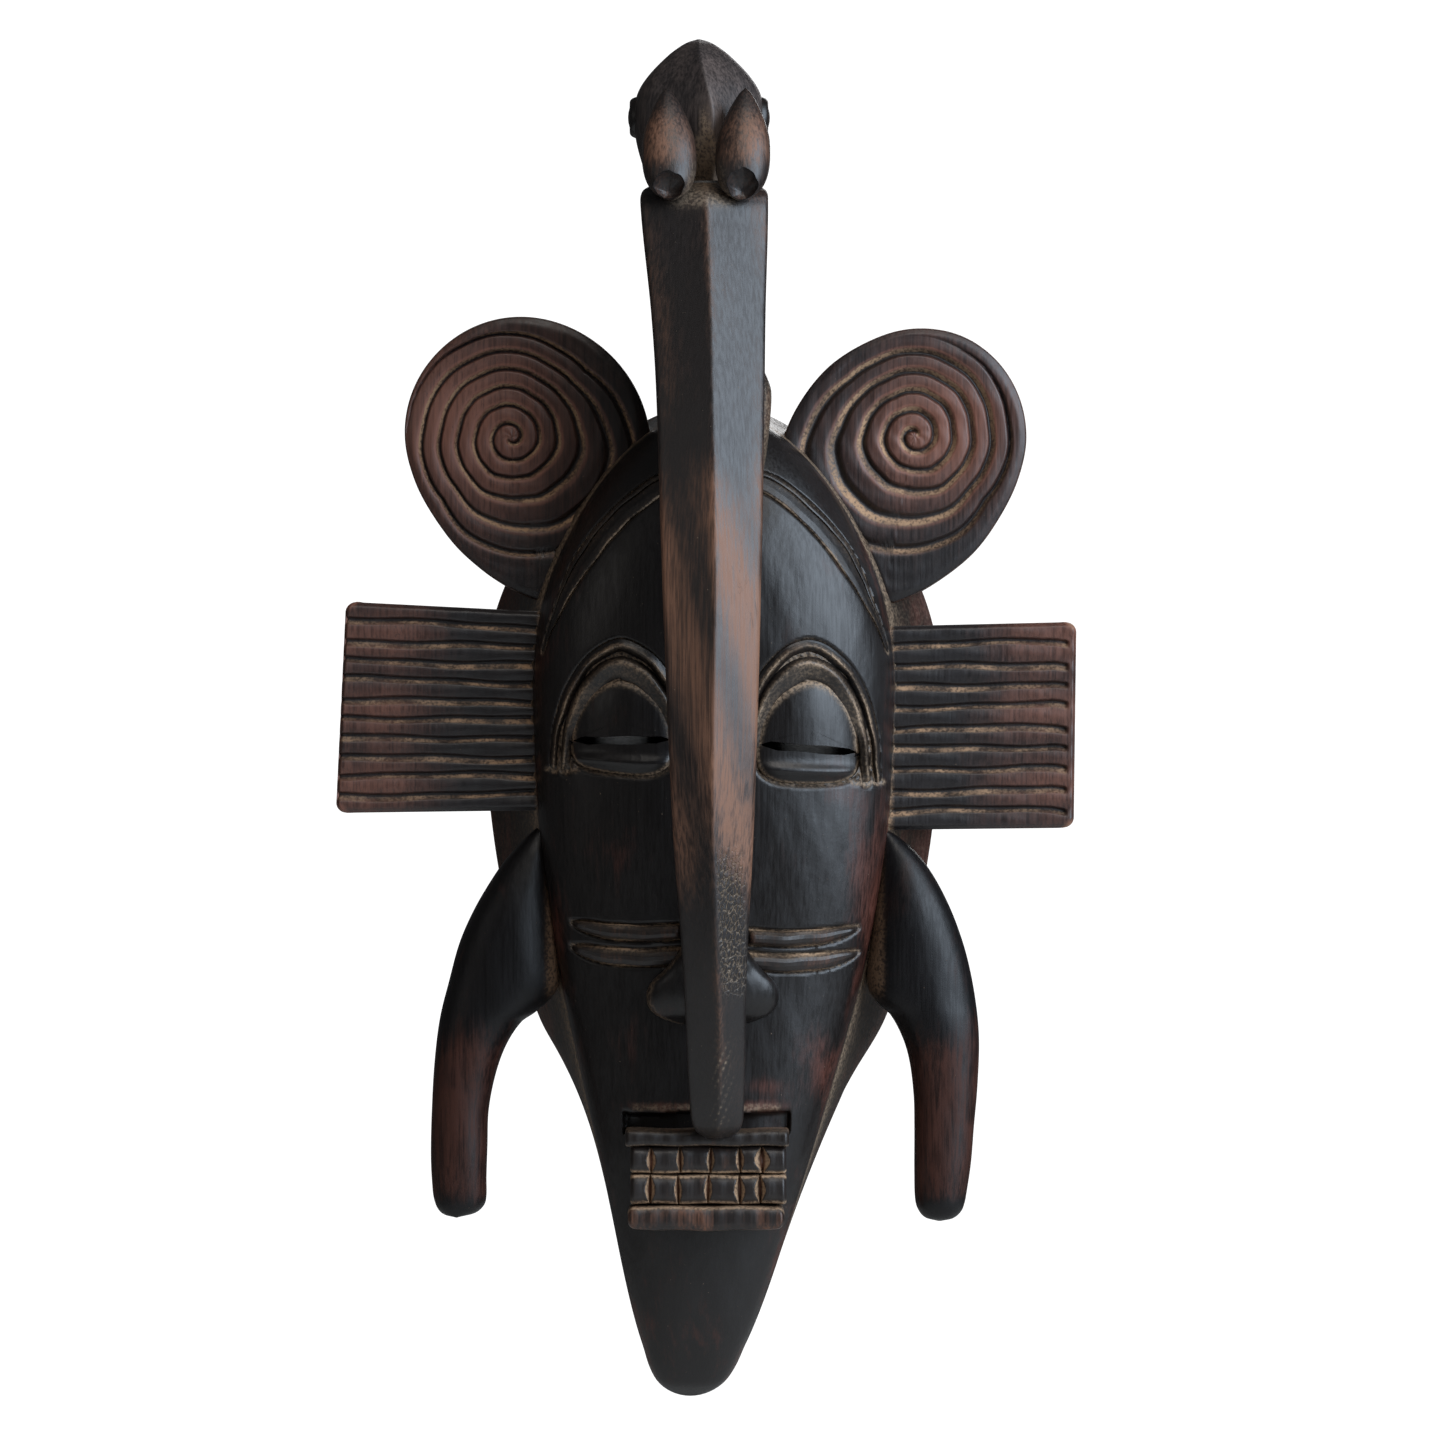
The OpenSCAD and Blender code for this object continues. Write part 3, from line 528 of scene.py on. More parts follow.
def hollow(side, steps=25):
    """Inside wall from the rim to the middle of the hollow."""
    x0, z0 = rim_outline(row_angles, side, RIM_WALL)
    hz = FACE_MID + cos_deg(row_angles) * np.where(row_angles < 90, HOLLOW_UP, HOLLOW_DOWN)
    hx = lean(hz) + side * HOLLOW_HALF_W * sin_deg(row_angles) * mix(1, 0.86, np.maximum(0, -cos_deg(row_angles)))
    wall = np.linspace(0, 1, 9)[None, :]
    walls = np.stack([mix(x0, hx, wall), -mix(RIM_DEPTH, HOLLOW_FRONT, wall) + 0 * x0, mix(z0, hz, wall)], -1)
    t = np.linspace(0.98, 0, steps)[None, :] ** 0.8
    x, z = mix(-0.4, hx, t), hz + 0 * t
    y = -(depth(x, z) - FACE_WALL - 0.5 * tool_marks(x * 0.7, z * 0.7, 0.9))
    y = np.maximum(y, -mix(HOLLOW_FRONT + 0.5, 60, smooth(1 - t, 0, 0.35)))
    return np.concatenate([walls, np.stack([x, y, z], -1)], 1)


right_hollow = hollow(RIGHT)
left_hollow = hollow(LEFT)[:, ::-1]
inside = np.concatenate([right_hollow, left_hollow[:, 1:]], 1)
section = np.concatenate([outside, inside, outside[:, :1]], 1)

edge_glow = smooth(np.abs(face_x - lean(face_z)) / np.maximum(face_half(face_z), 1), 0.86, 1.0)
face_wear = 0.30 * edge_glow
for at, size, strength in (((43, -30), (6, 22), 0.85), ((-45, -40), (4, 14), 0.45), ((-33, -22), (9, 14), 0.45),
                           ((36, -6), (9, 5), 0.3), ((-28, -80), (7, 12), 0.35), ((31, -84), (5, 13), 0.75),
                           ((12, -97.2), (8, 1.6), 1.0), ((-15, -97.2), (10, 1.6), 1.0), ((17, -150), (7, 22), 0.35),
                           ((15, -91.5), (6, 2.5), 0.6), ((-20, -150), (4, 22), 0.3), ((-6, -172), (12, 14), 0.25),
                           ((38, 60), (7, 9), 0.2), ((-40, 55), (6, 9), 0.2)):
    face_wear = face_wear + strength * patch(face_x, face_z, at, size)
side_wear = np.linspace(0.12, 0.75, left_flare.shape[1])[::-1]
wear = np.zeros(section.shape[:2])
dust = np.zeros(section.shape[:2])
n_left, n_face = left_flare.shape[1], face_points.shape[1]
wear[:, :n_left] = side_wear
wear[:, n_left:n_left + n_face] = np.minimum(face_wear, 1)
wear[:, n_left + n_face:n_left * 2 + n_face] = side_wear[::-1]
wear[:, n_left * 2 + n_face:] = 1.1
dust[:, n_left:n_left + n_face] = face_dust
dust[:, :n_left] = 0.1 + 0.5 * np.linspace(0, 1, n_left) ** 6
dust[:, n_left + n_face:n_left * 2 + n_face] = 0.1 + 0.5 * np.linspace(1, 0, n_left) ** 6
dust[:, n_left * 2 + n_face:] = 0.25

face = sheet("face", section, wear=wear, dust=dust)


def eye_cutter(side):
    outline = np.concatenate([lid_arc(side, True, -0.45, 48), lid_arc(side, False, -0.45, 48)[::-1][1:-1]])
    ring = np.stack([outline[:, 0], np.zeros(len(outline)), outline[:, 1]], 1)
    return skin("eye_cutter", np.array([ring + [0, -90, 0], ring + [0, -30, 0]]), cap_steps=(0.5, 0.0))


cut(face, [eye_cutter(LEFT), eye_cutter(RIGHT)])
finish_piece(face, black_waxed, "black_waxed_wood", "face_shell", "chin", angle=60)


# ---- Strips on the face: forehead band, brows and cheek bars ----

def strip(name, path, half, form, forward):
    """A carved strip along a path on the face, with its edges down in the groove beside it."""
    step = np.gradient(path, axis=0)
    out = forward * np.stack([step[:, 1], -step[:, 0]], 1) / np.linalg.norm(step, axis=1)[:, None]
    places, rises, dusts = np.array(form).T
    across = np.unique(np.concatenate([np.linspace(-1, 1, 25), places]))
    length = np.concatenate([[0], np.cumsum(np.linalg.norm(np.diff(path, axis=0), axis=1))])
    ends = np.minimum(smooth(length, 0, 1.8), smooth(length[-1] - length, 0, 1.8))[:, None]
    wander = (0.14 * np.sin(length / 4.1) + 0.09 * np.sin(length / 1.7 + 1))[:, None]
    x = path[:, :1] + out[:, :1] * (across * half[:, None] + wander)
    z = path[:, 1:] + out[:, 1:] * (across * half[:, None] + wander)
    rise = mix(-TRENCH, np.interp(across, places, rises)[None, :] * (1 + wander), ends)
    top = np.stack([x, -(depth(x, z) + rise), z], -1)
    under = np.stack([x, -(depth(x, z) - TRENCH - 1.4), z], -1)[:, ::-1]
    rings = np.concatenate([top, under], 1)
    patchy = 0.75 + 0.35 * np.sin(length / 3.3 + 2)[:, None]
    dusty = np.concatenate([np.interp(across, places, dusts)[None, :] * patchy, np.ones(top.shape[:2])], 1)
    worn = 0.35 * smooth(rise, 0.2, 1.6) * patchy
    return skin(name, rings, cap_steps=(0.0,), wear=np.concatenate([worn, 0 * worn], 1), dust=np.clip(dusty, 0, 1))


for name, (path, half, form, forward) in strips.items():
    cheek = "cheek" in name
    finish_piece(strip(name, path, half, form, forward), mouth_wood if cheek else black_waxed,
                 "mouth_wood" if cheek else "black_waxed_wood", name, angle=60)


# ---- Eyelids ----

def lid(name, side, upper):
    """A domed lid: nearly straight along the slit, round at its far edge, with the slit cut on a slant behind it."""
    arc = lid_arc(side, upper)
    line_x = np.linspace(arc[-1, 0], arc[0, 0], 72)[1:-1]
    from_end = np.minimum(np.abs(line_x - arc[0, 0]), np.abs(line_x - arc[-1, 0]))
    gap = (1.15 + 0.12 * np.sin(line_x / 2.3)) * smooth(from_end, 0.9, 1.7) * (1 if upper else -1)
    line = np.stack([line_x, slit(line_x, side) + gap], 1)
    outline = np.concatenate([arc, line])
    on_line = np.arange(len(outline)) >= len(arc)
    middle = np.array([side * LID_X, slit(LID_X, side) + (5.5 if upper else -3.6)])
    rings, dusty, worn = [], [], []
    # Behind the slit the passage dips, so that no light comes through from the back
    for y, slant in ((-49, -3.9), (-54, -0.3)):
        ends = np.minimum(np.abs(outline[:, 0] - arc[0, 0]), np.abs(outline[:, 0] - arc[-1, 0]))
        lift = slant * on_line * smooth(ends, 0.2, 0.8)
        rings.append(np.stack([outline[:, 0], np.full(len(outline), y), outline[:, 1] + lift], 1))
        dusty.append(0 * outline[:, 0])
        worn.append(0 * outline[:, 0])
    for t in np.concatenate([[1, 0.99, 0.975, 0.95], np.linspace(0.92, 0.03, 30)]):
        x, z = (middle + (outline - middle) * t).T
        base = slit(x, side)
        far = LID_TOP if upper else lid_floor(x, side)
        away = np.clip((z - base) / (far - base), 0, 1)
        sideways = np.clip(np.abs(x - side * LID_X) / np.where(side * x > LID_X, LID_OUTER, LID_INNER), 0, 1)
        if upper:
            inside = np.clip(1 - sideways ** 1.74 - away ** 2, 0, 1)
            rise = -1.5 + 3.3 * inside ** 0.5
        else:
            inside = np.clip(1 - sideways ** 3.6 - away ** 3.3, 0, 1)
            rise = -1.5 + 2.0 * inside ** 0.4 + 1.7 * np.exp(-((away - 0.66) / 0.2) ** 2) * inside ** 0.3
        rings.append(np.stack([x, -(depth(x, z) + rise + tool_marks(x, z, 0.04)), z], 1))
        # Along the slit both lids are worn paler, and the lower lid's pale line there is a painted highlight on its
        # lit edge
        lip = smooth(away, 0.05, 0.0)
        dusty.append(np.maximum(0.75 * smooth(inside, 0.28, 0.05), (0.0 if upper else 0.45) * lip))
        worn.append(0.1 + 0.3 * lip)
    return skin(name, np.array(rings), cap_steps=(0.5, 0.0), wear=np.array(worn), dust=np.array(dusty))


for side, word in SIDES:
    for upper, row in ((True, "upper"), (False, "lower")):
        lid_name = row + "_eyelid_" + word
        finish_piece(lid(lid_name, side, upper), black_waxed, "black_waxed_wood", lid_name)


# ---- Nose ----

def nose():
    levels = np.concatenate([np.linspace(-73.6, -50, 56), np.linspace(-49, 22, 50)])
    half = curve(levels, [(-73.6, 7), (-72.5, 11.5), (-70, 17), (-66, 19.4), (-61, 18.4), (-56, 13.5), (-49, 9),
                          (-20, 6.5), (22, 4)])
    high = curve(levels, [(-73.6, -1), (-72.5, 2.4), (-70, 7), (-65, 10.5), (-58, 11), (-50, 10), (-20, 8), (10, 4),
                          (22, 0)])
    wing = curve(levels, [(-73.6, 0), (-71, 0.7), (-65, 1), (-58, 0.8), (-52, 0), (22, 0)])
    a = np.linspace(0, 180, 61)
    rings = []
    for z, w, h, wings in zip(levels, half, high, wing):
        x = lean(z) + 0.6 - w * cos_deg(a)
        share = np.abs(cos_deg(a))
        crease = 0.12 * wings * np.exp(-((share - 0.42) / 0.13) ** 2)
        pinched = 1 - 0.3 * wings * smooth(share, 0.2, 0.7)
        y = -(depth(x, np.full_like(x, z)) - 0.7 + h * (sin_deg(a) ** 0.55 * pinched - crease))
        front = np.stack([x, y, np.full_like(x, z)], 1)
        back_x = np.linspace(x[-1], x[0], 12)[1:-1]
        back = np.stack([back_x, -(depth(back_x, np.full_like(back_x, z)) - 1.5), np.full_like(back_x, z)], 1)
        rings.append(np.concatenate([front, back]))
    rings = np.array(rings)
    dusty = 0.3 * smooth(np.abs(rings[:, :, 0] - 0.5) / half[:, None], 0.95, 1.0)
    worn = 0.1 + 0.35 * patch(rings[:, :, 0], rings[:, :, 2], (-15, -70), (6, 4))
    return skin("nose", rings, cap_steps=(0.5, 0.0), wear=worn, dust=dusty)


finish_piece(nose(), black_waxed, "black_waxed_wood", "nose")


# ---- Mouth ----

def bar(name, z_top, z_bottom, front, notches=(), crown=1.2, sag=0.0, wear=0.2, dust_top=0.0, dust_bottom=0.0,
        ends=(-26.3, 21.7), round_ends=0.8, tuck=0.5):
    """One carved row of the mouth; notches (centre, half-width, depth) part its teeth.

    Its back is tucked under its neighbours.
    """
    x = np.concatenate([[ends[0] + 0.01, ends[0] + 0.1, ends[0] + 0.3], np.linspace(ends[0] + 0.6, ends[1] - 0.6, 216),
                        [ends[1] - 0.3, ends[1] - 0.1, ends[1] - 0.01]])
    v = np.linspace(0, 1, 30)
    rings, dusty, worn = [], [], []
    for xi in x:
        arc = sin_deg(180 * (xi - ends[0]) / (ends[1] - ends[0]))
        near_end = min(xi - ends[0], ends[1] - xi)
        corner = round_ends * (1 - math.sqrt(1 - (1 - min(near_end / round_ends, 1)) ** 2))
        top = z_top - corner + 0.16 * math.sin(xi / 3.1 + z_top)
        low = z_bottom - sag * arc + corner + 0.14 * math.sin(xi / 2.6 + z_top)
        z = mix(top, low, v)
        bow = crown * (1 - np.abs(2 * v - 1) ** 3)
        cut_in, inner = np.zeros_like(v), np.zeros_like(v)
        for middle, half, deep in notches:
            reach = 0.2 + half * np.clip(sin_deg(180 * (v * 0.92 + 0.04)), 0, 1) ** 1.3
            share = np.clip(1 - abs(xi - middle - 0.25 * math.sin(middle) * (v - 0.5)) / reach, 0, 1)
            cut_in = np.maximum(cut_in, deep * share ** 0.8)
            inner = np.maximum(inner, share)
        y = -(front - crown + bow - cut_in - 1.4 * (1 - min(near_end / 1.2, 1)) ** 2 + 0.07 * math.sin(xi * 1.3))
        back = np.array([(xi, -front + 5, low - tuck), (xi, -43, low - tuck), (xi, -43, mix(low, top, 0.5)),
                         (xi, -43, top + tuck), (xi, -front + 5, top + tuck)])
        rings.append(np.concatenate([np.stack([np.full_like(v, xi), y, z], 1), back]))
        edge = np.maximum(dust_top * smooth(v, 0.13, 0.02), dust_bottom * smooth(v, 0.87, 0.98))
        d = np.maximum(edge, 0.85 * smooth(inner, 0.0, 0.12) * smooth(inner, 0.85, 0.45))
        dusty.append(np.concatenate([d, np.full(len(back), 0.3)]))
        handled = wear * (0.55 + 0.6 * math.sin(xi / 7 + z_top) ** 2)
        worn.append(np.concatenate([np.full_like(v, handled) + 0.5 * smooth(inner, 0.0, 0.2),
                                    np.full(len(back), 0.3)]))
    return skin(name, np.array(rings), cap_steps=(0.6, 0.0), wear=np.array(worn), dust=np.clip(np.array(dusty), 0, 1))


gaps_upper = [(-18.7, 1.2, 2.2), (-10.2, 0.9, 2.0), (-1.3, 1.0, 2.0), (7.3, 1.1, 2.2), (13.8, 2.2, 2.6)]
gaps_lower = [(-19.0, 1.35, 2.4), (-10.8, 0.95, 2.0), (-2.0, 1.0, 2.0), (7.2, 1.5, 2.4), (13.2, 1.5, 2.6)]
TEETH_ENDS = (-24.8, 20.9)
mouth_rows = {
    "upper_lip": dict(z_top=-104.2, z_bottom=-108.2, front=63, crown=0.7, wear=0.1, dust_top=0.15, dust_bottom=0.3),
    "upper_teeth": dict(z_top=-108.9, z_bottom=-116.2, front=61.9, notches=gaps_upper, crown=1.4, wear=0.12,
                        dust_bottom=0.95, ends=TEETH_ENDS),
    "lower_teeth": dict(z_top=-117.2, z_bottom=-125.2, front=61.9, notches=gaps_lower, crown=1.5, wear=0.12,
                        dust_top=0.9, dust_bottom=0.9, ends=TEETH_ENDS),
    "lower_lip": dict(z_top=-126.4, z_bottom=-132.4, front=63, crown=1.0, wear=0.5, dust_top=0.75, sag=0.5,
                      ends=(-25.6, 20.3), round_ends=2.2)}
for name, row in mouth_rows.items():
    finish_piece(bar(name, **row), mouth_wood, "mouth_wood", name, angle=45)


# ---- Beak ----

BEAK_REACH = 110
# The beak at each height: share of its reach, thickness, left side, right side and ridge
BEAK_BOW = [(-105.8, 0.62), (-102, 0.67), (-90, 0.745), (-60, 0.87), (-30, 0.95), (10, 1), (60, 0.99), (100, 0.945),
            (135, 0.88), (160, 0.825), (168, 0.8), (172, 0.73)]
BEAK_THICK = [(-105.8, 8), (-102, 12), (-90, 16), (-60, 18), (0, 20), (60, 21), (135, 24), (160, 25), (172, 17)]
BEAK_LEFT = [(-105.8, -3), (-103.5, -6), (-98, -7.4), (-55, -9.5), (-13, -12.4), (58, -15.4), (111, -17.1),
             (134, -18.6), (166, -21.8), (170, -21), (172, -18)]
BEAK_RIGHT = [(-105.8, 4.5), (-103.5, 7.4), (-98, 8.6), (-54, 9.5), (-13, 11.5), (58, 13.6), (111, 14.5),
              (134, 14.8), (166, 15.6), (170, 15), (172, 12)]
BEAK_RIDGE = [(-105.8, 1), (-74, 1.5), (-54, 0.6), (-13, -0.6), (58, 0), (132, -1.2), (172, -2.5)]


def rounded(corners, radius, per_side=12, per_corner=5):
    """Points round a polygon whose corners are softened by radius."""
    points = []
    n = len(corners)
    for i in range(n):
        before, here, after = corners[i - 1], corners[i], corners[(i + 1) % n]
        r = min(radius[i], 0.45 * math.dist(before, here), 0.45 * math.dist(here, after))
        start = here + (before - here) * r / math.dist(before, here)
        end = here + (after - here) * r / math.dist(here, after)
        for k in range(per_corner):
            u = k / (per_corner - 1)
            points.append((1 - u) ** 2 * start + 2 * u * (1 - u) * here + u * u * end)
        r_next = min(radius[(i + 1) % n], 0.45 * math.dist(here, after),
                     0.45 * math.dist(after, corners[(i + 2) % n]))
        far_end = after + (here - after) * r_next / math.dist(here, after)
        for k in range(1, per_side):
            points.append(mix(end, far_end, k / per_side))
    return np.array(points)


def beak():
    levels = np.concatenate([np.linspace(-105.8, -98, 14), np.linspace(-97, 164, 300), np.linspace(164.8, 172, 12)])
    rings = []
    for z in levels:
        f = float(BEAK_REACH * curve(z, BEAK_BOW))
        t, l, r, m = (float(curve(z, p)) for p in (BEAK_THICK, BEAK_LEFT, BEAK_RIGHT, BEAK_RIDGE))
        d = min(7, t / 3)
        corners = np.array([[l + 1.5, -(f - t)], [l, -(f - d)], [m, -f], [r, -(f - d)], [r - 1.5, -(f - t)]])
        ring = rounded(corners, (2.5, 1.6, 0.8, 1.6, 2.5))
        rings.append(np.column_stack([ring, np.full(len(ring), z)]))
    rings = np.array(rings)
    x, z = rings[:, :, 0], rings[:, :, 2]
    ridge = curve(z, BEAK_RIDGE)
    front = smooth(rings[:, :, 1], -BEAK_REACH * curve(z, BEAK_BOW) + 9, -BEAK_REACH * curve(z, BEAK_BOW) + 7)
    on_right = smooth(x, ridge + 0.5, ridge + 2) * front
    hatched = smooth(z, -66, -56) * smooth(z, -18, -28) * on_right * smooth(x - ridge, 9.5, 6.5)
    nicks = np.maximum(0, np.sin(z * 1.9 + x * 0.7)) * np.maximum(0, np.sin(z * 0.9 - x * 1.6 + 1))
    rings[:, :, 1] += 0.4 * hatched * nicks + front * tool_marks(x * 0.8, z * 0.45, 0.07)
    upper, lower = smooth(z, 100, 66), smooth(z, -46, -12)
    # Wear between the two heights, more on the right facet: that extra is the lit side painted lighter, the rest is
    # rubbed wood
    wear = front * (0.1 + upper * lower * (0.45 + 0.28 * on_right))
    wear = wear + 0.25 * np.exp(-((x - ridge) / 1.2) ** 2) * front + 0.15 * smooth(np.abs(x - ridge), 9, 14) * front
    wear = wear * (0.8 + 0.35 * np.sin(z / 11.0 + x / 3.0 + 1)) + 0.3 * patch(x, z, (9, 50), (5, 9)) * front
    speckled = np.maximum(0, np.sin(z * 2.7 + x * 2)) * np.maximum(0, np.sin(z * 1.3 - x * 3.1))
    dust = 0.8 * (patch(x, z, (2.2, -85), (2.4, 8)) + 0.7 * patch(x, z, (1.5, -99), (2.2, 4))) * front * speckled
    dust = dust + 0.4 * smooth(z, 162.5, 166.5) * smooth(np.abs(x + 3.2), 12, 5) * front
    return skin("beak", rings, wear=np.clip(wear, 0, 1.1), dust=np.clip(dust, 0, 1), scaly=hatched)


finish_piece(beak(), rubbed_beak, "worn_crest_wood", "beak", angle=35)


# ---- Crest ----

CROWN_Z, HEAD_MIDDLE = 215.8, -4.7
# The head's half-width, front and back, each by the drop below its crown
HEAD_HALF = [(0, 0.6), (0.6, 2.8), (2, 5.4), (4.8, 9.2), (10.8, 15.2), (16, 18.5), (22, 19.5), (29, 19.1), (36, 17.4),
             (44, 14.5)]
HEAD_FRONT = [(0, 57), (2, 63), (8, 71), (16, 77), (26, 79.5), (36, 77), (44, 73)]
HEAD_BACK = [(0, 54), (2, 49), (8, 41), (16, 34), (26, 31), (36, 34), (44, 40)]


def crest_head():
    """Two flat facets that meet in a keel down the front, and a round back."""
    drops = 44 * np.linspace(0, 1, 100) ** 1.4
    rings, worn, dusty = [], [], []
    for drop in drops[::-1]:
        w, f, b = (float(curve(drop, p)) for p in (HEAD_HALF, HEAD_FRONT, HEAD_BACK))
        keel, fall = 4.2 * float(smooth(drop, 1, 26)), 0.72 * w
        shoulder = max(mix(b, f, 0.5), f - fall)
        corners = np.array([[keel, -f], [w, -shoulder], [0.93 * w, -b - 0.35 * (f - b)], [0.3 * w, -b], [-0.3 * w, -b],
                            [-0.93 * w, -b - 0.35 * (f - b)], [-w, -shoulder]])
        soft = np.array((1.0, 7, 14, 14, 14, 14, 7)) * min(1, w / 12)
        x, y = rounded(corners, soft, per_side=9, per_corner=9).T
        rings.append(np.stack([HEAD_MIDDLE + x, y, np.full_like(x, CROWN_Z - drop)], 1))
        ahead = smooth(-y, shoulder - 3, shoulder + 2)
        # Even wear, a rubbed patch at the front, and the facet right of the keel painted a little lighter as the lit
        # side
        worn.append(0.3 + 0.12 * (x > keel) + 0.35 * ahead * np.exp(-((x - 4) / 4) ** 2) * smooth(drop, 14, 24))
        strip_half = mix(1.2, 6.5, smooth(drop, 24, 44))
        dusty.append(0.75 * smooth(np.abs(x - 2.0), strip_half + 1, strip_half - 1) * smooth(drop, 19, 27) * ahead)
    return skin("crest_head", np.array(rings), wear=np.array(worn), dust=np.array(dusty))


finish_piece(crest_head(), greyed_crest, "black_waxed_wood", "crest_head", angle=60)


def crest_neck():
    """A squared neck that leans forward behind the beak."""
    levels = np.linspace(86, 173, 70)
    left = [(86, -14), (112, -15.5), (134, -13.5), (173, -14)]
    right = [(86, 14), (112, 16.3), (122, 13), (134, 11.5), (173, 6.5)]
    front = [(86, 64), (112, 67), (122, 71), (134, 76), (148, 79), (160, 78), (173, 74.5)]
    back = [(86, 30), (112, 28), (134, 36), (173, 42)]
    rings = []
    for z in levels:
        l, r, f, b = (float(curve(z, p)) for p in (left, right, front, back))
        ring = rounded(np.array([[l, -b], [l, -f], [r, -f], [r, -b]]), (6, 5, 5, 6), per_side=14, per_corner=7)
        rings.append(np.column_stack([ring, np.full(len(ring), z)]))
    rings = np.array(rings)
    rings[:, :, 0] += tool_marks(rings[:, :, 1], rings[:, :, 2], 0.12)
    return skin("crest_neck", rings, wear=0.3, dust=0.4 * smooth(rings[:, :, 2], 120, 108))


finish_piece(crest_neck(), black_waxed, "black_waxed_wood", "crest_neck", angle=60)


def ear(name, side):
    """A leaf-shaped ear with a scoop cut in the front of its root."""
    tip = np.array([8.9 if side > 0 else -13.9, -80.0, 199.4])
    root = np.array([7.6 if side > 0 else -12.8, -88.0, 166.2])
    t = np.concatenate([np.linspace(0, 0.06, 8), np.linspace(0.08, 0.9, 60), np.linspace(0.91, 1, 12)])
    half_w = curve(t, [(0, 0.15), (0.05, 1.8), (0.2, 4.6), (0.42, 7.3), (0.6, 7.9), (0.75, 7.6), (0.87, 6.3),
                       (0.95, 4.0), (1, 1.0)])
    half_d = curve(t, [(0, 0.15), (0.05, 1.5), (0.2, 3.9), (0.45, 6.4), (0.65, 7.0), (0.8, 6.8), (0.9, 5.6),
                       (0.96, 3.6), (1, 0.9)])
    a = np.linspace(0, 360, 90, endpoint=False)
    ahead = np.maximum(0, -sin_deg(a))
    rings, worn, dusty = [], [], []
    for u, w, d in zip(t, half_w, half_d):
        middle = mix(tip, root, u)
        rings.append(np.stack([middle[0] + w * cos_deg(a), middle[1] + d * reshaped(sin_deg(a), 0.85),
                               middle[2] + 0 * a], 1))
        patchy = 0.66 * smooth(u, 0.12, 0.38) * smooth(u, 0.76, 0.58) * ahead
        worn.append(0.2 + 0.9 * patchy * (0.5 + 0.5 * smooth(side * cos_deg(a), -0.4, 0.4)))
        dusty.append(0.3 * smooth(u, 0.5, 0.9) * smooth(-side * cos_deg(a), 0.5, 0.95))
    leaf = skin(name, np.array(rings), cap_steps=(0.5, 0.0), wear=np.array(worn), dust=np.array(dusty))
    scoop = []
    for lat in np.linspace(-86, 86, 21):
        wide = cos_deg(lat) * (1 + 0.05 * np.sin(np.radians(a) * 5 + side) + 0.03 * np.sin(np.radians(a) * 9))
        scoop.append(np.stack([root[0] + 0.5 * side + 5.7 * wide * cos_deg(a), -97.0 + 9.0 * sin_deg(lat) + 0 * a,
                               171.4 + (5.2 + 0.5 * side) * wide * sin_deg(a) - 0.3 * 9.0 * sin_deg(lat)], 1))
    cut(leaf, [skin("scoop", np.array(scoop), cap_steps=(0.5, 0.0), wear=0.3, dust=0.15)])
    return leaf


for side, word in SIDES:
    finish_piece(ear("ear_" + word, side), rubbed_beak, "worn_crest_wood", "ear_" + word, angle=60)


def crest_eye(name, side):
    """A round eye boss on the side of the head: a low dome inside a soft lip."""
    out = np.array([12, 17.4, 18.7, 19.6, 20.1, 20.3, 20.2, 19.8, 20.0, 20.4, 20.7, 20.8])
    r = np.array([6.2, 6.2, 6.0, 5.6, 5.1, 4.6, 4.2, 3.9, 3.5, 2.7, 1.5, 0.3])
    a = np.linspace(0, 360, 60, endpoint=False)
    rings = [np.stack([HEAD_MIDDLE + side * o + 0 * a, -57 + ri * cos_deg(a), CROWN_Z - 23 + ri * sin_deg(a)], 1)
             for o, ri in zip(out, r)]
    dusty = np.repeat(np.array([0, 0, 0, 0, 0, 0.2, 0.7, 0.8, 0.5, 0, 0, 0])[:, None], len(a), 1)
    return skin(name, np.array(rings), cap_steps=(0.5, 0.0), wear=0.2, dust=dusty)


for side, word in SIDES:
    finish_piece(crest_eye("crest_eye_" + word, side), black_waxed, "black_waxed_wood", "crest_eye_" + word, angle=60)


# ---- Coil discs ----

def hollow_half(z, y):
    """Half-width of the hollow at height z and depth y, between the rim and the face's back."""
    a = np.linspace(0, 180, 721)
    rx, rz = rim_outline(a, RIGHT, RIM_WALL)
    hz = FACE_MID + cos_deg(a) * np.where(a < 90, HOLLOW_UP, HOLLOW_DOWN)
    hx = HOLLOW_HALF_W * sin_deg(a)
    t = (-y - RIM_DEPTH) / (HOLLOW_FRONT - RIM_DEPTH)
    return np.interp(-z, -mix(rz, hz, t), mix(rx, hx, t), left=0, right=0)


DISC_R, DISC_BACK, DISC_T = 33, 22, 12
# Each disc's outline as (degrees from its outer side, share of DISC_R); it draws out to a tail beside the face
TEARDROP = {LEFT: [(-99, 1.48), (-84, 1.29), (-70, 1.15), (-48, 1.005), (-24, 0.95), (0, 0.957), (43, 1.005),
                   (90, 1.085), (130, 1.145), (165, 1.22), (200, 1.3)],
            RIGHT: [(-97, 1.515), (-80, 1.32), (-67, 1.21), (-45, 1.07), (-23, 1.015), (0, 1.012), (58, 1.003),
                    (90, 0.967), (116, 0.945), (136, 0.975), (163, 1.067), (200, 1.3)]}


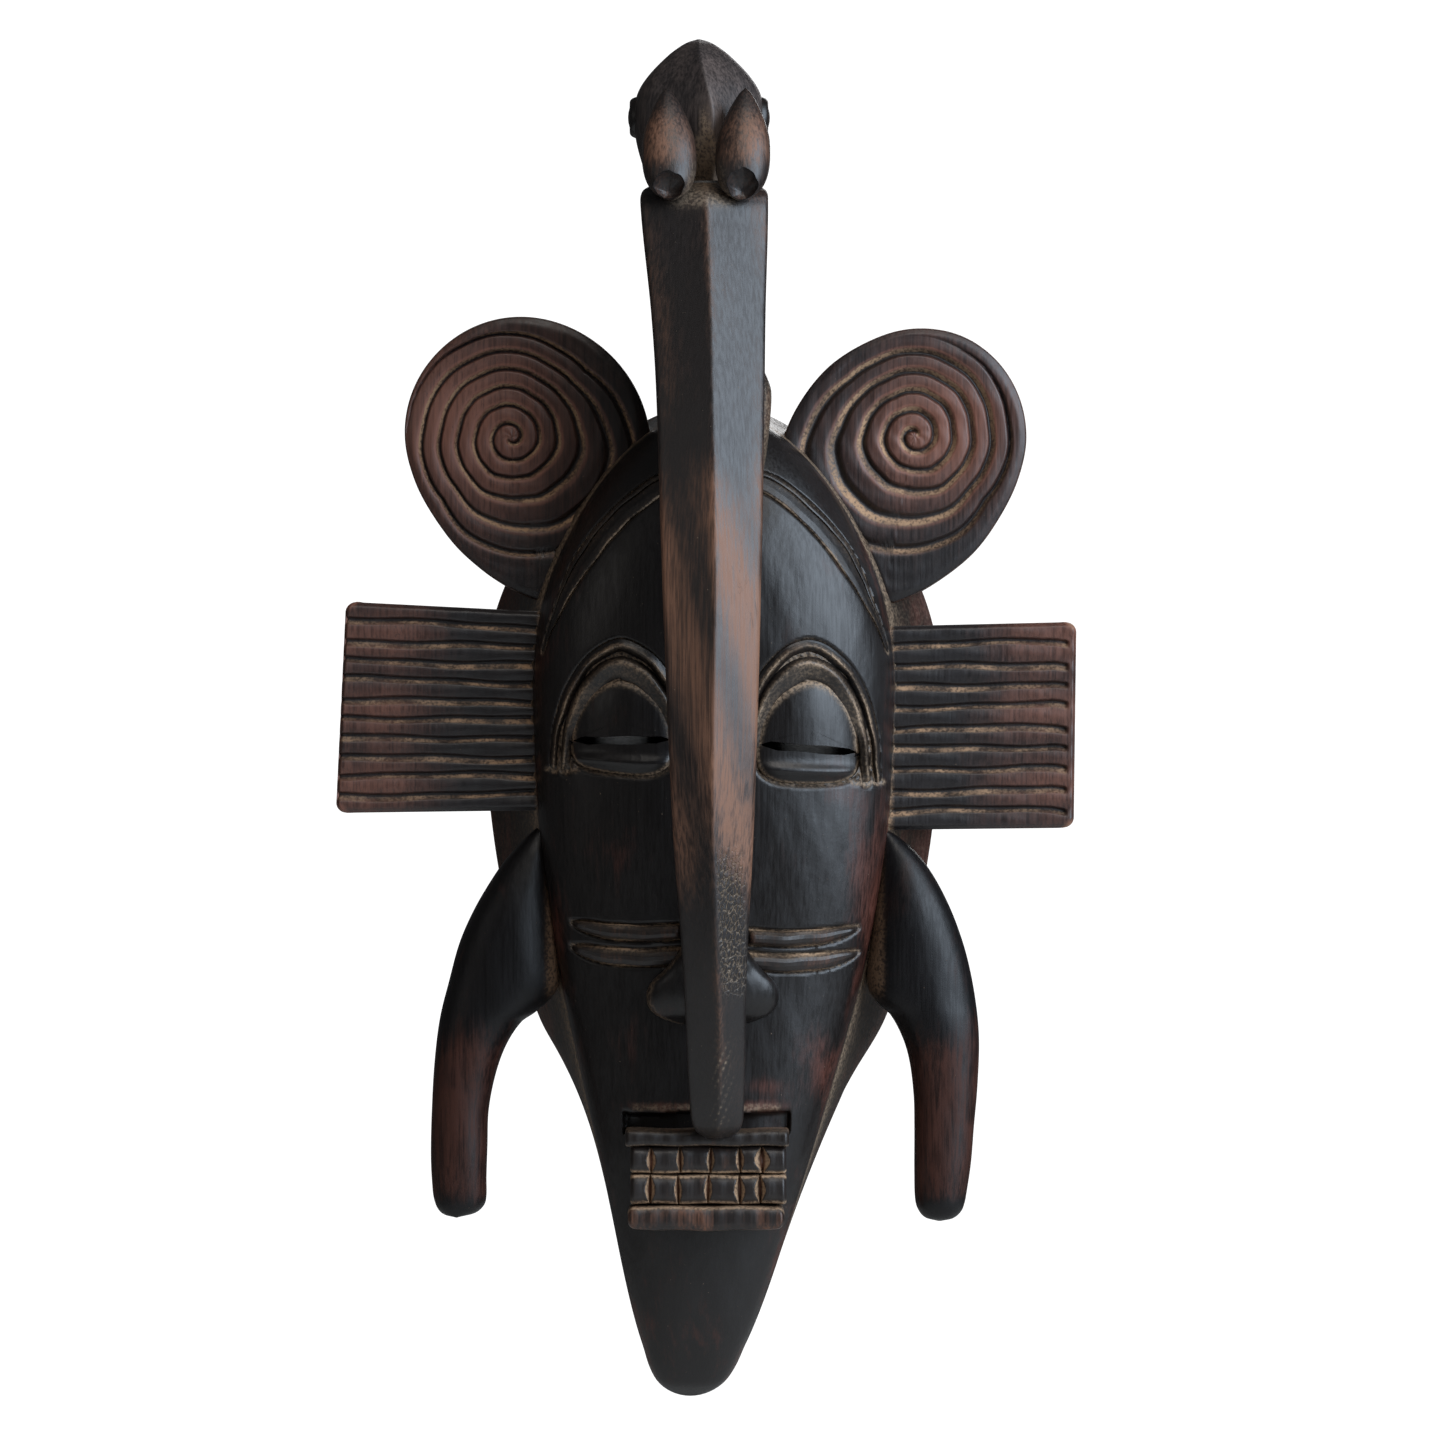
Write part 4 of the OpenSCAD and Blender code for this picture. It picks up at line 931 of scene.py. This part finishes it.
def coil_disc(name, side, centre, handed, turns, pitch, wide, hand):
    """A disc with one groove wound from its middle; its outer turns stretch towards the tail beside the face."""
    angles = np.linspace(-100, 260, 361)[:-1]
    tear = TEARDROP[side]
    table = np.where(angles <= 200, DISC_R * curve(angles, tear), DISC_R * mix(1.3, 1.48, smooth(angles, 200, 262)))
    reach = np.linspace(0, 60, 241)
    px = centre[0] + side * np.outer(cos_deg(angles), reach)
    pz = centre[1] + np.outer(sin_deg(angles), reach)

    def first_inside(limit):
        inside = side * px < np.maximum(limit, 12)
        return np.where(inside.any(1), reach[np.argmax(inside, 1)], 99)
    rim = np.minimum(table, first_inside(hollow_half(pz, -DISC_BACK) + 1.5))
    rim = np.minimum(rim, (np.roll(rim, 1) + np.roll(rim, -1)) / 2 + 0.6)
    front = -(DISC_BACK + DISC_T)

    def ring(r, y):
        return np.stack([centre[0] + side * r * cos_deg(angles), y + 0 * angles, centre[1] + r * sin_deg(angles)], 1)
    rings, worn, dusty = [], [], []
    for r_share, y in ((0.3, -DISC_BACK), (0.7, -DISC_BACK), (0.97, -DISC_BACK), (1.0, -DISC_BACK - 0.8),
                       (1.0, -DISC_BACK - 5), (1.0, front + 2), (0.995, front + 1.2)):
        rings.append(ring(rim * r_share, y))
        worn.append(0.4 + 0 * angles)
        dusty.append(0.1 + 0 * angles)
    turned = np.radians(angles)
    wander = 0.3 * np.sin(turned * 3 + 1) + 0.16 * np.sin(turned * 7) + 0.07 * np.sin(turned * 13)
    to_tail = np.maximum(0, cos_deg(angles - 228))
    for s in np.concatenate([[0.988], np.linspace(0.978, 0.02, 120)]):
        r = rim * s
        even = r / (1 + 0.3 * to_tail * smooth(r, 10, 34)) + wander * smooth(r, 3, 16)
        turn = even / pitch - handed * np.radians(angles) / (2 * math.pi)
        across = turn - np.round(turn)
        off = across * pitch
        wound = smooth(even, turns * pitch + 1.6, turns * pitch + 0.4) * smooth(r, 0.5, 1.6)
        groove = np.where(off < 0, smooth(off, -wide, -0.1 * wide), smooth(off, 1.7 * wide, 0.0) ** 1.2) * wound
        crown = 0.28 * (0.5 + 0.5 * cos_deg(360 * across)) * wound
        dish = 0.9 * smooth(s, 0.9, 1.0) ** 2
        y = front + 1.4 * groove + crown + dish + 0.06 * np.sin(r * 1.3 + angles / 9)
        rings.append(ring(r, y))
        handled = patch(r * cos_deg(angles), r * sin_deg(angles), *hand)
        crest = smooth(np.abs(off - wide - 0.5), 0.7, 0.1) * wound
        worn.append(0.05 + 0.75 * (1 - 0.8 * groove) * handled + 0.3 * crest)
        patchy = 0.75 + 0.3 * np.sin(angles / 17 + r / 4)
        dusty.append(np.clip(smooth(off, 0.1, 0.45) * smooth(off, wide + 0.5, wide) * wound * patchy, 0, 1))
    return skin(name, np.array(rings), cap_steps=(0.5, 0.0), wear=np.array(worn), dust=np.array(dusty))


# Side, centre, way of winding, turns, pitch, the groove's half-width, and where hands rub it as (middle, size)
coils = {"coil_disc_left": (LEFT, (-60.5, 100), -1, 5.7, 5.3, 0.8, ((12, 3), (33, 35))),
         "coil_disc_right": (RIGHT, (59, 100.5), 1, 4.9, 5.75, 1.15, ((7, 2), (27, 27)))}
for name, coil in coils.items():
    finish_piece(coil_disc(name, *coil), dusty_carved, "dusty_ornament_wood", name, angle=60)


# ---- Combs ----

COMB_BACK, COMB_T = 27, 11
COMB_ROUND = 3.2   # radius of the comb's outer corners


def comb(name, side, corners, grooves, stop):
    """A ribbed plate. corners run inner top, outer top, outer bottom, inner bottom.

    The grooves end stop short of its outer end; a stop below 0 lets them run out through it.
    """
    inner_top, outer_top, outer_low, inner_low = (np.array(c, float) for c in corners)
    t = np.concatenate([np.linspace(0, 0.9, 60), np.linspace(0.905, 1, 26)])
    v = np.linspace(0, 1, 251)
    rings, worn, dusty = [], [], []
    length = abs(outer_top[0] - inner_top[0])

    def rounding(edge):
        return COMB_ROUND * (1 - np.sqrt(1 - (1 - np.minimum(edge / COMB_ROUND, 1)) ** 2))
    for s in t:
        top, low = mix(inner_top, outer_top, s), mix(inner_low, outer_low, s)
        tall = top[1] - low[1]
        x, z = mix(top[0], low[0], v), mix(top[1], low[1], v)
        groove, dust_and_lit_wall = np.zeros_like(v), np.zeros_like(v)
        for k in range(1, grooves + 1):
            wave = 0.006 * math.sin(s * 5 + k * 1.7) + 0.003 * math.sin(s * 13 + k * 2.9) + 0.004 * math.sin(k * 4.1)
            hook = 0.012 * smooth((1 - s) * length, 7, 1) * (stop > 0)
            off = (v - (k - 0.1) / (grooves + 0.85) - wave - hook) * tall
            width = 1.9 + 0.35 * math.sin(k * 2.3 + s * 4)
            here = smooth((1 - s) * length, stop - 0.6, stop + 0.9)
            groove = np.maximum(groove, np.where(off < 0, smooth(off, -1.0, -0.1), smooth(off, width, 0.1)) * here)
            broken = 0.6 + 0.25 * math.sin(s * 19 + k * 2.1) + 0.15 * math.sin(s * 47 + k)
            # Pale dust on each groove's lower wall, laid on more strongly than the dust alone would be, so that it
            # also stands as a painted highlight on this upward-facing wall, lit from above
            wall_dust_and_light = broken * smooth(off, 0.2, 0.55) * smooth(off, width, width - 0.7) * here
            dust_and_lit_wall = np.maximum(dust_and_lit_wall, wall_dust_and_light)
        end = smooth((1 - s) * length, 1.0, 0.0)
        edge = np.minimum(v, 1 - v) * tall
        soft = 1.2 * smooth(edge, 1.8, 0.0) ** 2
        crown = 0.22 * (1 + cos_deg(360 * (v * (grooves + 0.85) + 0.1))) * (1 - groove)
        y = -(COMB_BACK + COMB_T) + 1.6 * groove + crown + 0.1 + soft + 1.3 * end + 0.06 * np.sin(z * 1.1 + s * 20)
        at_end = smooth(s, 0.9, 1.0)
        x = x - side * rounding(edge) * at_end
        front = np.stack([x, y, z], 1)
        back_v = np.array([1, 0.99, 0.975, 0.95, 0.9, 0.7, 0.55, 0.45, 0.3, 0.1, 0.05, 0.025, 0.01, 0])
        soft_back = 0.6 * (np.abs(back_v - 0.5) > 0.49)
        back_x = mix(top[0], low[0], back_v) - side * rounding(np.minimum(back_v, 1 - back_v) * tall) * at_end
        back = np.stack([back_x, -COMB_BACK - soft_back, mix(top[1], low[1], back_v)], 1)
        rings.append(np.concatenate([front, back]))
        outer = smooth(s, 0.25, 0.8)
        corner = 0.75 * smooth(s, 0.94, 1.0) * smooth(edge, 3.5, 0.5)
        w = 0.03 + 0.58 * outer * (1 - 0.7 * groove) * (0.6 + 0.4 * np.sin(z / 7.0 + 2) ** 2) + corner
        worn.append(np.concatenate([w, np.full(len(back), 0.35)]))
        # The lower walls' dust and painted highlight, weaker towards the outer end
        d = dust_and_lit_wall * mix(1.0, 0.62, outer) + 0.8 * smooth(s * length, 2.4, 1.0) + 0.7 * corner * (stop > 0)
        dusty.append(np.concatenate([d, np.full(len(back), 0.15)]))
    return skin(name, np.array(rings), cap_steps=(0.985, 0.9, 0.0), wear=np.array(worn),
                dust=np.clip(np.array(dusty), 0, 1))


# Side, corners, number of grooves, and how far from the outer end they stop
combs = {"comb_left": (LEFT, ((-50.4, 48.3), (-109.3, 51.3), (-112.3, -11.3), (-50.8, -10.5)), 10, -2),
         "comb_right": (RIGHT, ((50.6, 44), (107, 45.3), (106.2, -15.7), (50.8, -16.3)), 9, 2.4)}
for name, plate in combs.items():
    finish_piece(comb(name, *plate), dusty_carved, "dusty_ornament_wood", name, angle=55)


# ---- Legs ----

# Outer and inner side of each leg as (z, distance from the middle); the shoulder's inner side is sunk in the face
LEG_OUTER = {RIGHT: [(-132.2, 67), (-131.5, 70.3), (-129.5, 72.8), (-127, 73.9), (-124, 74.5), (-115, 75.8),
                     (-104, 76.7), (-92.7, 77.7), (-78.4, 78.2), (-67, 77.2), (-54.5, 74.8), (-44, 71.5),
                     (-35.3, 67.7), (-27.7, 63.3), (-22, 58.6), (-18.5, 54.5), (-16.5, 51.5)],
             LEFT: [(-131, 77), (-130.4, 80), (-128.8, 82), (-126, 83.2), (-123, 83.7), (-113, 84.2), (-99, 83.9),
                    (-85, 83.1), (-72, 81.5), (-61, 78.8), (-49.4, 75.6), (-39.7, 71.3), (-31, 66.2), (-25, 62),
                    (-19, 56.5), (-16, 53.2), (-14.5, 51)]}
LEG_INNER = {RIGHT: [(-132.2, 66), (-131.3, 62.5), (-129, 60.3), (-126, 59.3), (-118, 59), (-104, 59), (-95, 58.8),
                     (-85, 57.6), (-78, 55.6), (-71, 51.9), (-68, 48.5), (-64, 45.6), (-58, 45), (-50, 46), (-40, 47),
                     (-30, 48.2), (-16.5, 49)],
             LEFT: [(-131, 76), (-130, 71.5), (-128, 68.8), (-125.5, 67.8), (-119, 67.7), (-110, 67.4), (-99, 67),
                    (-88, 64.8), (-79.5, 61.6), (-73, 57.2), (-70.5, 53.5), (-66, 48.5), (-62, 46.2), (-54, 46),
                    (-40, 47), (-30, 48.2), (-14.5, 49)]}
LEG_HALF_D = [(-132.2, 0.5), (-131.4, 3.2), (-129, 5.6), (-126, 6.6), (-110, 7.2), (-90, 8.3), (-70, 10), (-50, 10.5),
              (-35, 9), (-24, 6), (-18, 3.4), (-14.5, 1.2)]


def leg(name, side):
    outer, inner = LEG_OUTER[side], LEG_INNER[side]
    low, high = outer[0][0], outer[-1][0]
    levels = np.concatenate([low + 5 * (1 - cos_deg(np.linspace(0, 90, 18)))[:-1], np.linspace(low + 5, high, 150)])
    a = np.linspace(0, 360, 84, endpoint=False)
    rings = []
    for z in levels:
        x0, x1, half_d = (float(curve(z, p)) for p in (inner, outer, LEG_HALF_D))
        half_w = (x1 - x0) / 2
        x = side * ((x0 + x1) / 2 + half_w * reshaped(cos_deg(a), 0.92))
        middle_y = -35.5 + 1.2 * smooth(z, -110, -132)
        y = middle_y + half_d * reshaped(sin_deg(a), 0.92)
        rings.append(np.stack([x, y, np.full_like(a, z)], 1))
    rings = np.array(rings)
    rings[:, :, 1] += tool_marks(rings[:, :, 0], rings[:, :, 2] * 0.6, 0.1)
    z = rings[:, :, 2]
    low_part = smooth(z, -66, -86)
    wear = 0.04 + 0.8 * low_part * smooth(z, -130, -122) + 0.3 * patch(rings[:, :, 0], z, (side * 74, -62), (5, 12))
    dust = 0.8 * smooth(side * rings[:, :, 0], 51, 48.5) * smooth(z, -68, -62)
    return skin(name, rings, cap_steps=(0.5, 0.0), wear=wear, dust=dust)


for side, word in SIDES:
    finish_piece(leg("leg_" + word, side), leg_wood, "leg_wood", "leg_" + word, angle=60)


# ---- Rim band ----

def rim_band():
    """The flat-backed band round the open back, with four tie holes."""
    a = np.concatenate([np.linspace(0, 180, 181), np.linspace(180, 0, 181)[1:-1]])
    sides = np.concatenate([np.full(181, LEFT), np.full(179, RIGHT)])
    cross_section = [(0, -RIM_DEPTH), (0, -9), (0, -5), (0.1, -1.5), (0.8, -0.4), (1.8, 0), (4, 0), (6.4, 0),
                     (7.4, -0.5), (8, -1.6), (8, -5), (8, -9), (8, -RIM_DEPTH), (6, -RIM_DEPTH), (4, -RIM_DEPTH),
                     (2, -RIM_DEPTH)]
    rows = []
    for inset, y in cross_section + cross_section[:1]:
        x, z = np.array([rim_outline(np.array(ai), si, inset) for ai, si in zip(a, sides)]).T
        rows.append(np.stack([x, y + 0 * x, z], 1))
    rows = np.array(rows)
    rows = np.concatenate([rows, rows[:, :1]], 1)
    nearness = np.linspace(0.6, 1, len(rows))[:, None]
    band = sheet("rim_band", rows, wear=np.broadcast_to(0.55 + 0.4 * nearness, rows.shape[:2]),
                 dust=np.broadcast_to(0.2, rows.shape[:2]))
    holes = []
    for mount in frame["record"]["mounts"]:
        if mount["kind"] == "bore":
            bpy.ops.object.select_all(action="DESELECT")
            bpy.ops.mesh.primitive_cylinder_add(vertices=32, radius=mount["dims"]["r_mm"] * MM, depth=24 * MM)
            hole = bpy.context.object
            axis = np.array(mount["axis"])
            side = math.copysign(1, axis[0])
            hole.rotation_euler = (0, side * (math.pi / 2 + math.asin(-axis[2])), 0)
            hole.location = mount["pos_m"]
            bpy.context.view_layer.update()
            bpy.ops.object.transform_apply(location=True, rotation=True, scale=True)
            holes.append(hole)
    cut(band, holes)
    return band


finish_piece(rim_band(), bare_rim, "bare_rim_wood", "rim_band", angle=40)


# ---- Stage, light and camera, in metres ----

FLOOR_R, FLOOR_Z = 0.9, -0.42


def stage_material():
    """Matt paper: pale, even and without a sheen."""
    material = bpy.data.materials.new("matt_white_paper")
    material.use_nodes = True
    shader = material.node_tree.nodes["Principled BSDF"]
    shader.inputs["Base Color"].default_value = linear("#dedbd6")
    shader.inputs["Roughness"].default_value = 0.9
    return material


bpy.ops.object.select_all(action="DESELECT")
bpy.ops.mesh.primitive_circle_add(vertices=64, radius=FLOOR_R, fill_type="NGON", location=(0, 0, FLOOR_Z))
floor = bpy.context.object
floor.name = "floor"
bpy.ops.object.transform_apply(location=True)
floor.data.materials.append(stage_material())


def area_light(name, at, size, watts, colour):
    """A round soft light, size metres across, that faces the mask."""
    light = bpy.data.lights.new(name, "AREA")
    light.shape = "DISK"
    light.size = size
    light.energy = watts
    light.color = colour
    lamp = bpy.data.objects.new(name, light)
    bpy.context.scene.collection.objects.link(lamp)
    lamp.location = at
    aim = -np.array(at) / np.linalg.norm(at)
    lamp.rotation_euler = (math.acos(-aim[2]), 0, math.atan2(aim[0], -aim[1]) + math.pi)


area_light("key_light", (1.5, -1.2, 0.6), 1.9, 68, (0.74, 0.86, 1.0))
area_light("top_light", (0.3, -1.3, 1.7), 1.1, 14, (1.0, 0.95, 0.9))
area_light("left_fill", (-1.6, -1.3, 0.5), 1.0, 1.6, (1.0, 0.96, 0.92))
area_light("back_fill", (0.3, 1.9, 0.7), 1.0, 9, (1.0, 1.0, 1.0))

# The camera sees a plain pale ground behind the mask, and the mask itself gets only a faint even light from it
world = bpy.data.worlds.new("pale_studio")
bpy.context.scene.world = world
world.use_nodes = True
sky = world.node_tree
sky.nodes.clear()
seen = add(sky, "LightPath")
backdrop = add(sky, "Background", {"Color": (1.0, 1.0, 1.0, 1.0), "Strength": 1.15})
ambient = add(sky, "Background", {"Color": (0.95, 0.97, 1.0, 1.0), "Strength": 0.07})
either = add(sky, "MixShader", {0: seen.outputs["Is Camera Ray"], 1: ambient.outputs[0], 2: backdrop.outputs[0]})
add(sky, "OutputWorld", {"Surface": either.outputs[0]})
bpy.context.scene.view_settings.view_transform = "Standard"

CAMERA_AT = (0.0022, -2.1, 0.0155)
VIEW_W, VIEW_Y = 0.4271, -0.04    # width of the view, and the plane through the mask where it is measured
SENSOR_W = 36
camera_data = bpy.data.cameras.new("camera")
camera = bpy.data.objects.new("camera", camera_data)
bpy.context.scene.collection.objects.link(camera)
camera.location = CAMERA_AT
camera.rotation_euler = (math.pi / 2, 0, 0)
camera_data.sensor_width = SENSOR_W
camera_data.lens = SENSOR_W * (VIEW_Y - CAMERA_AT[1]) / VIEW_W
bpy.context.scene.camera = camera
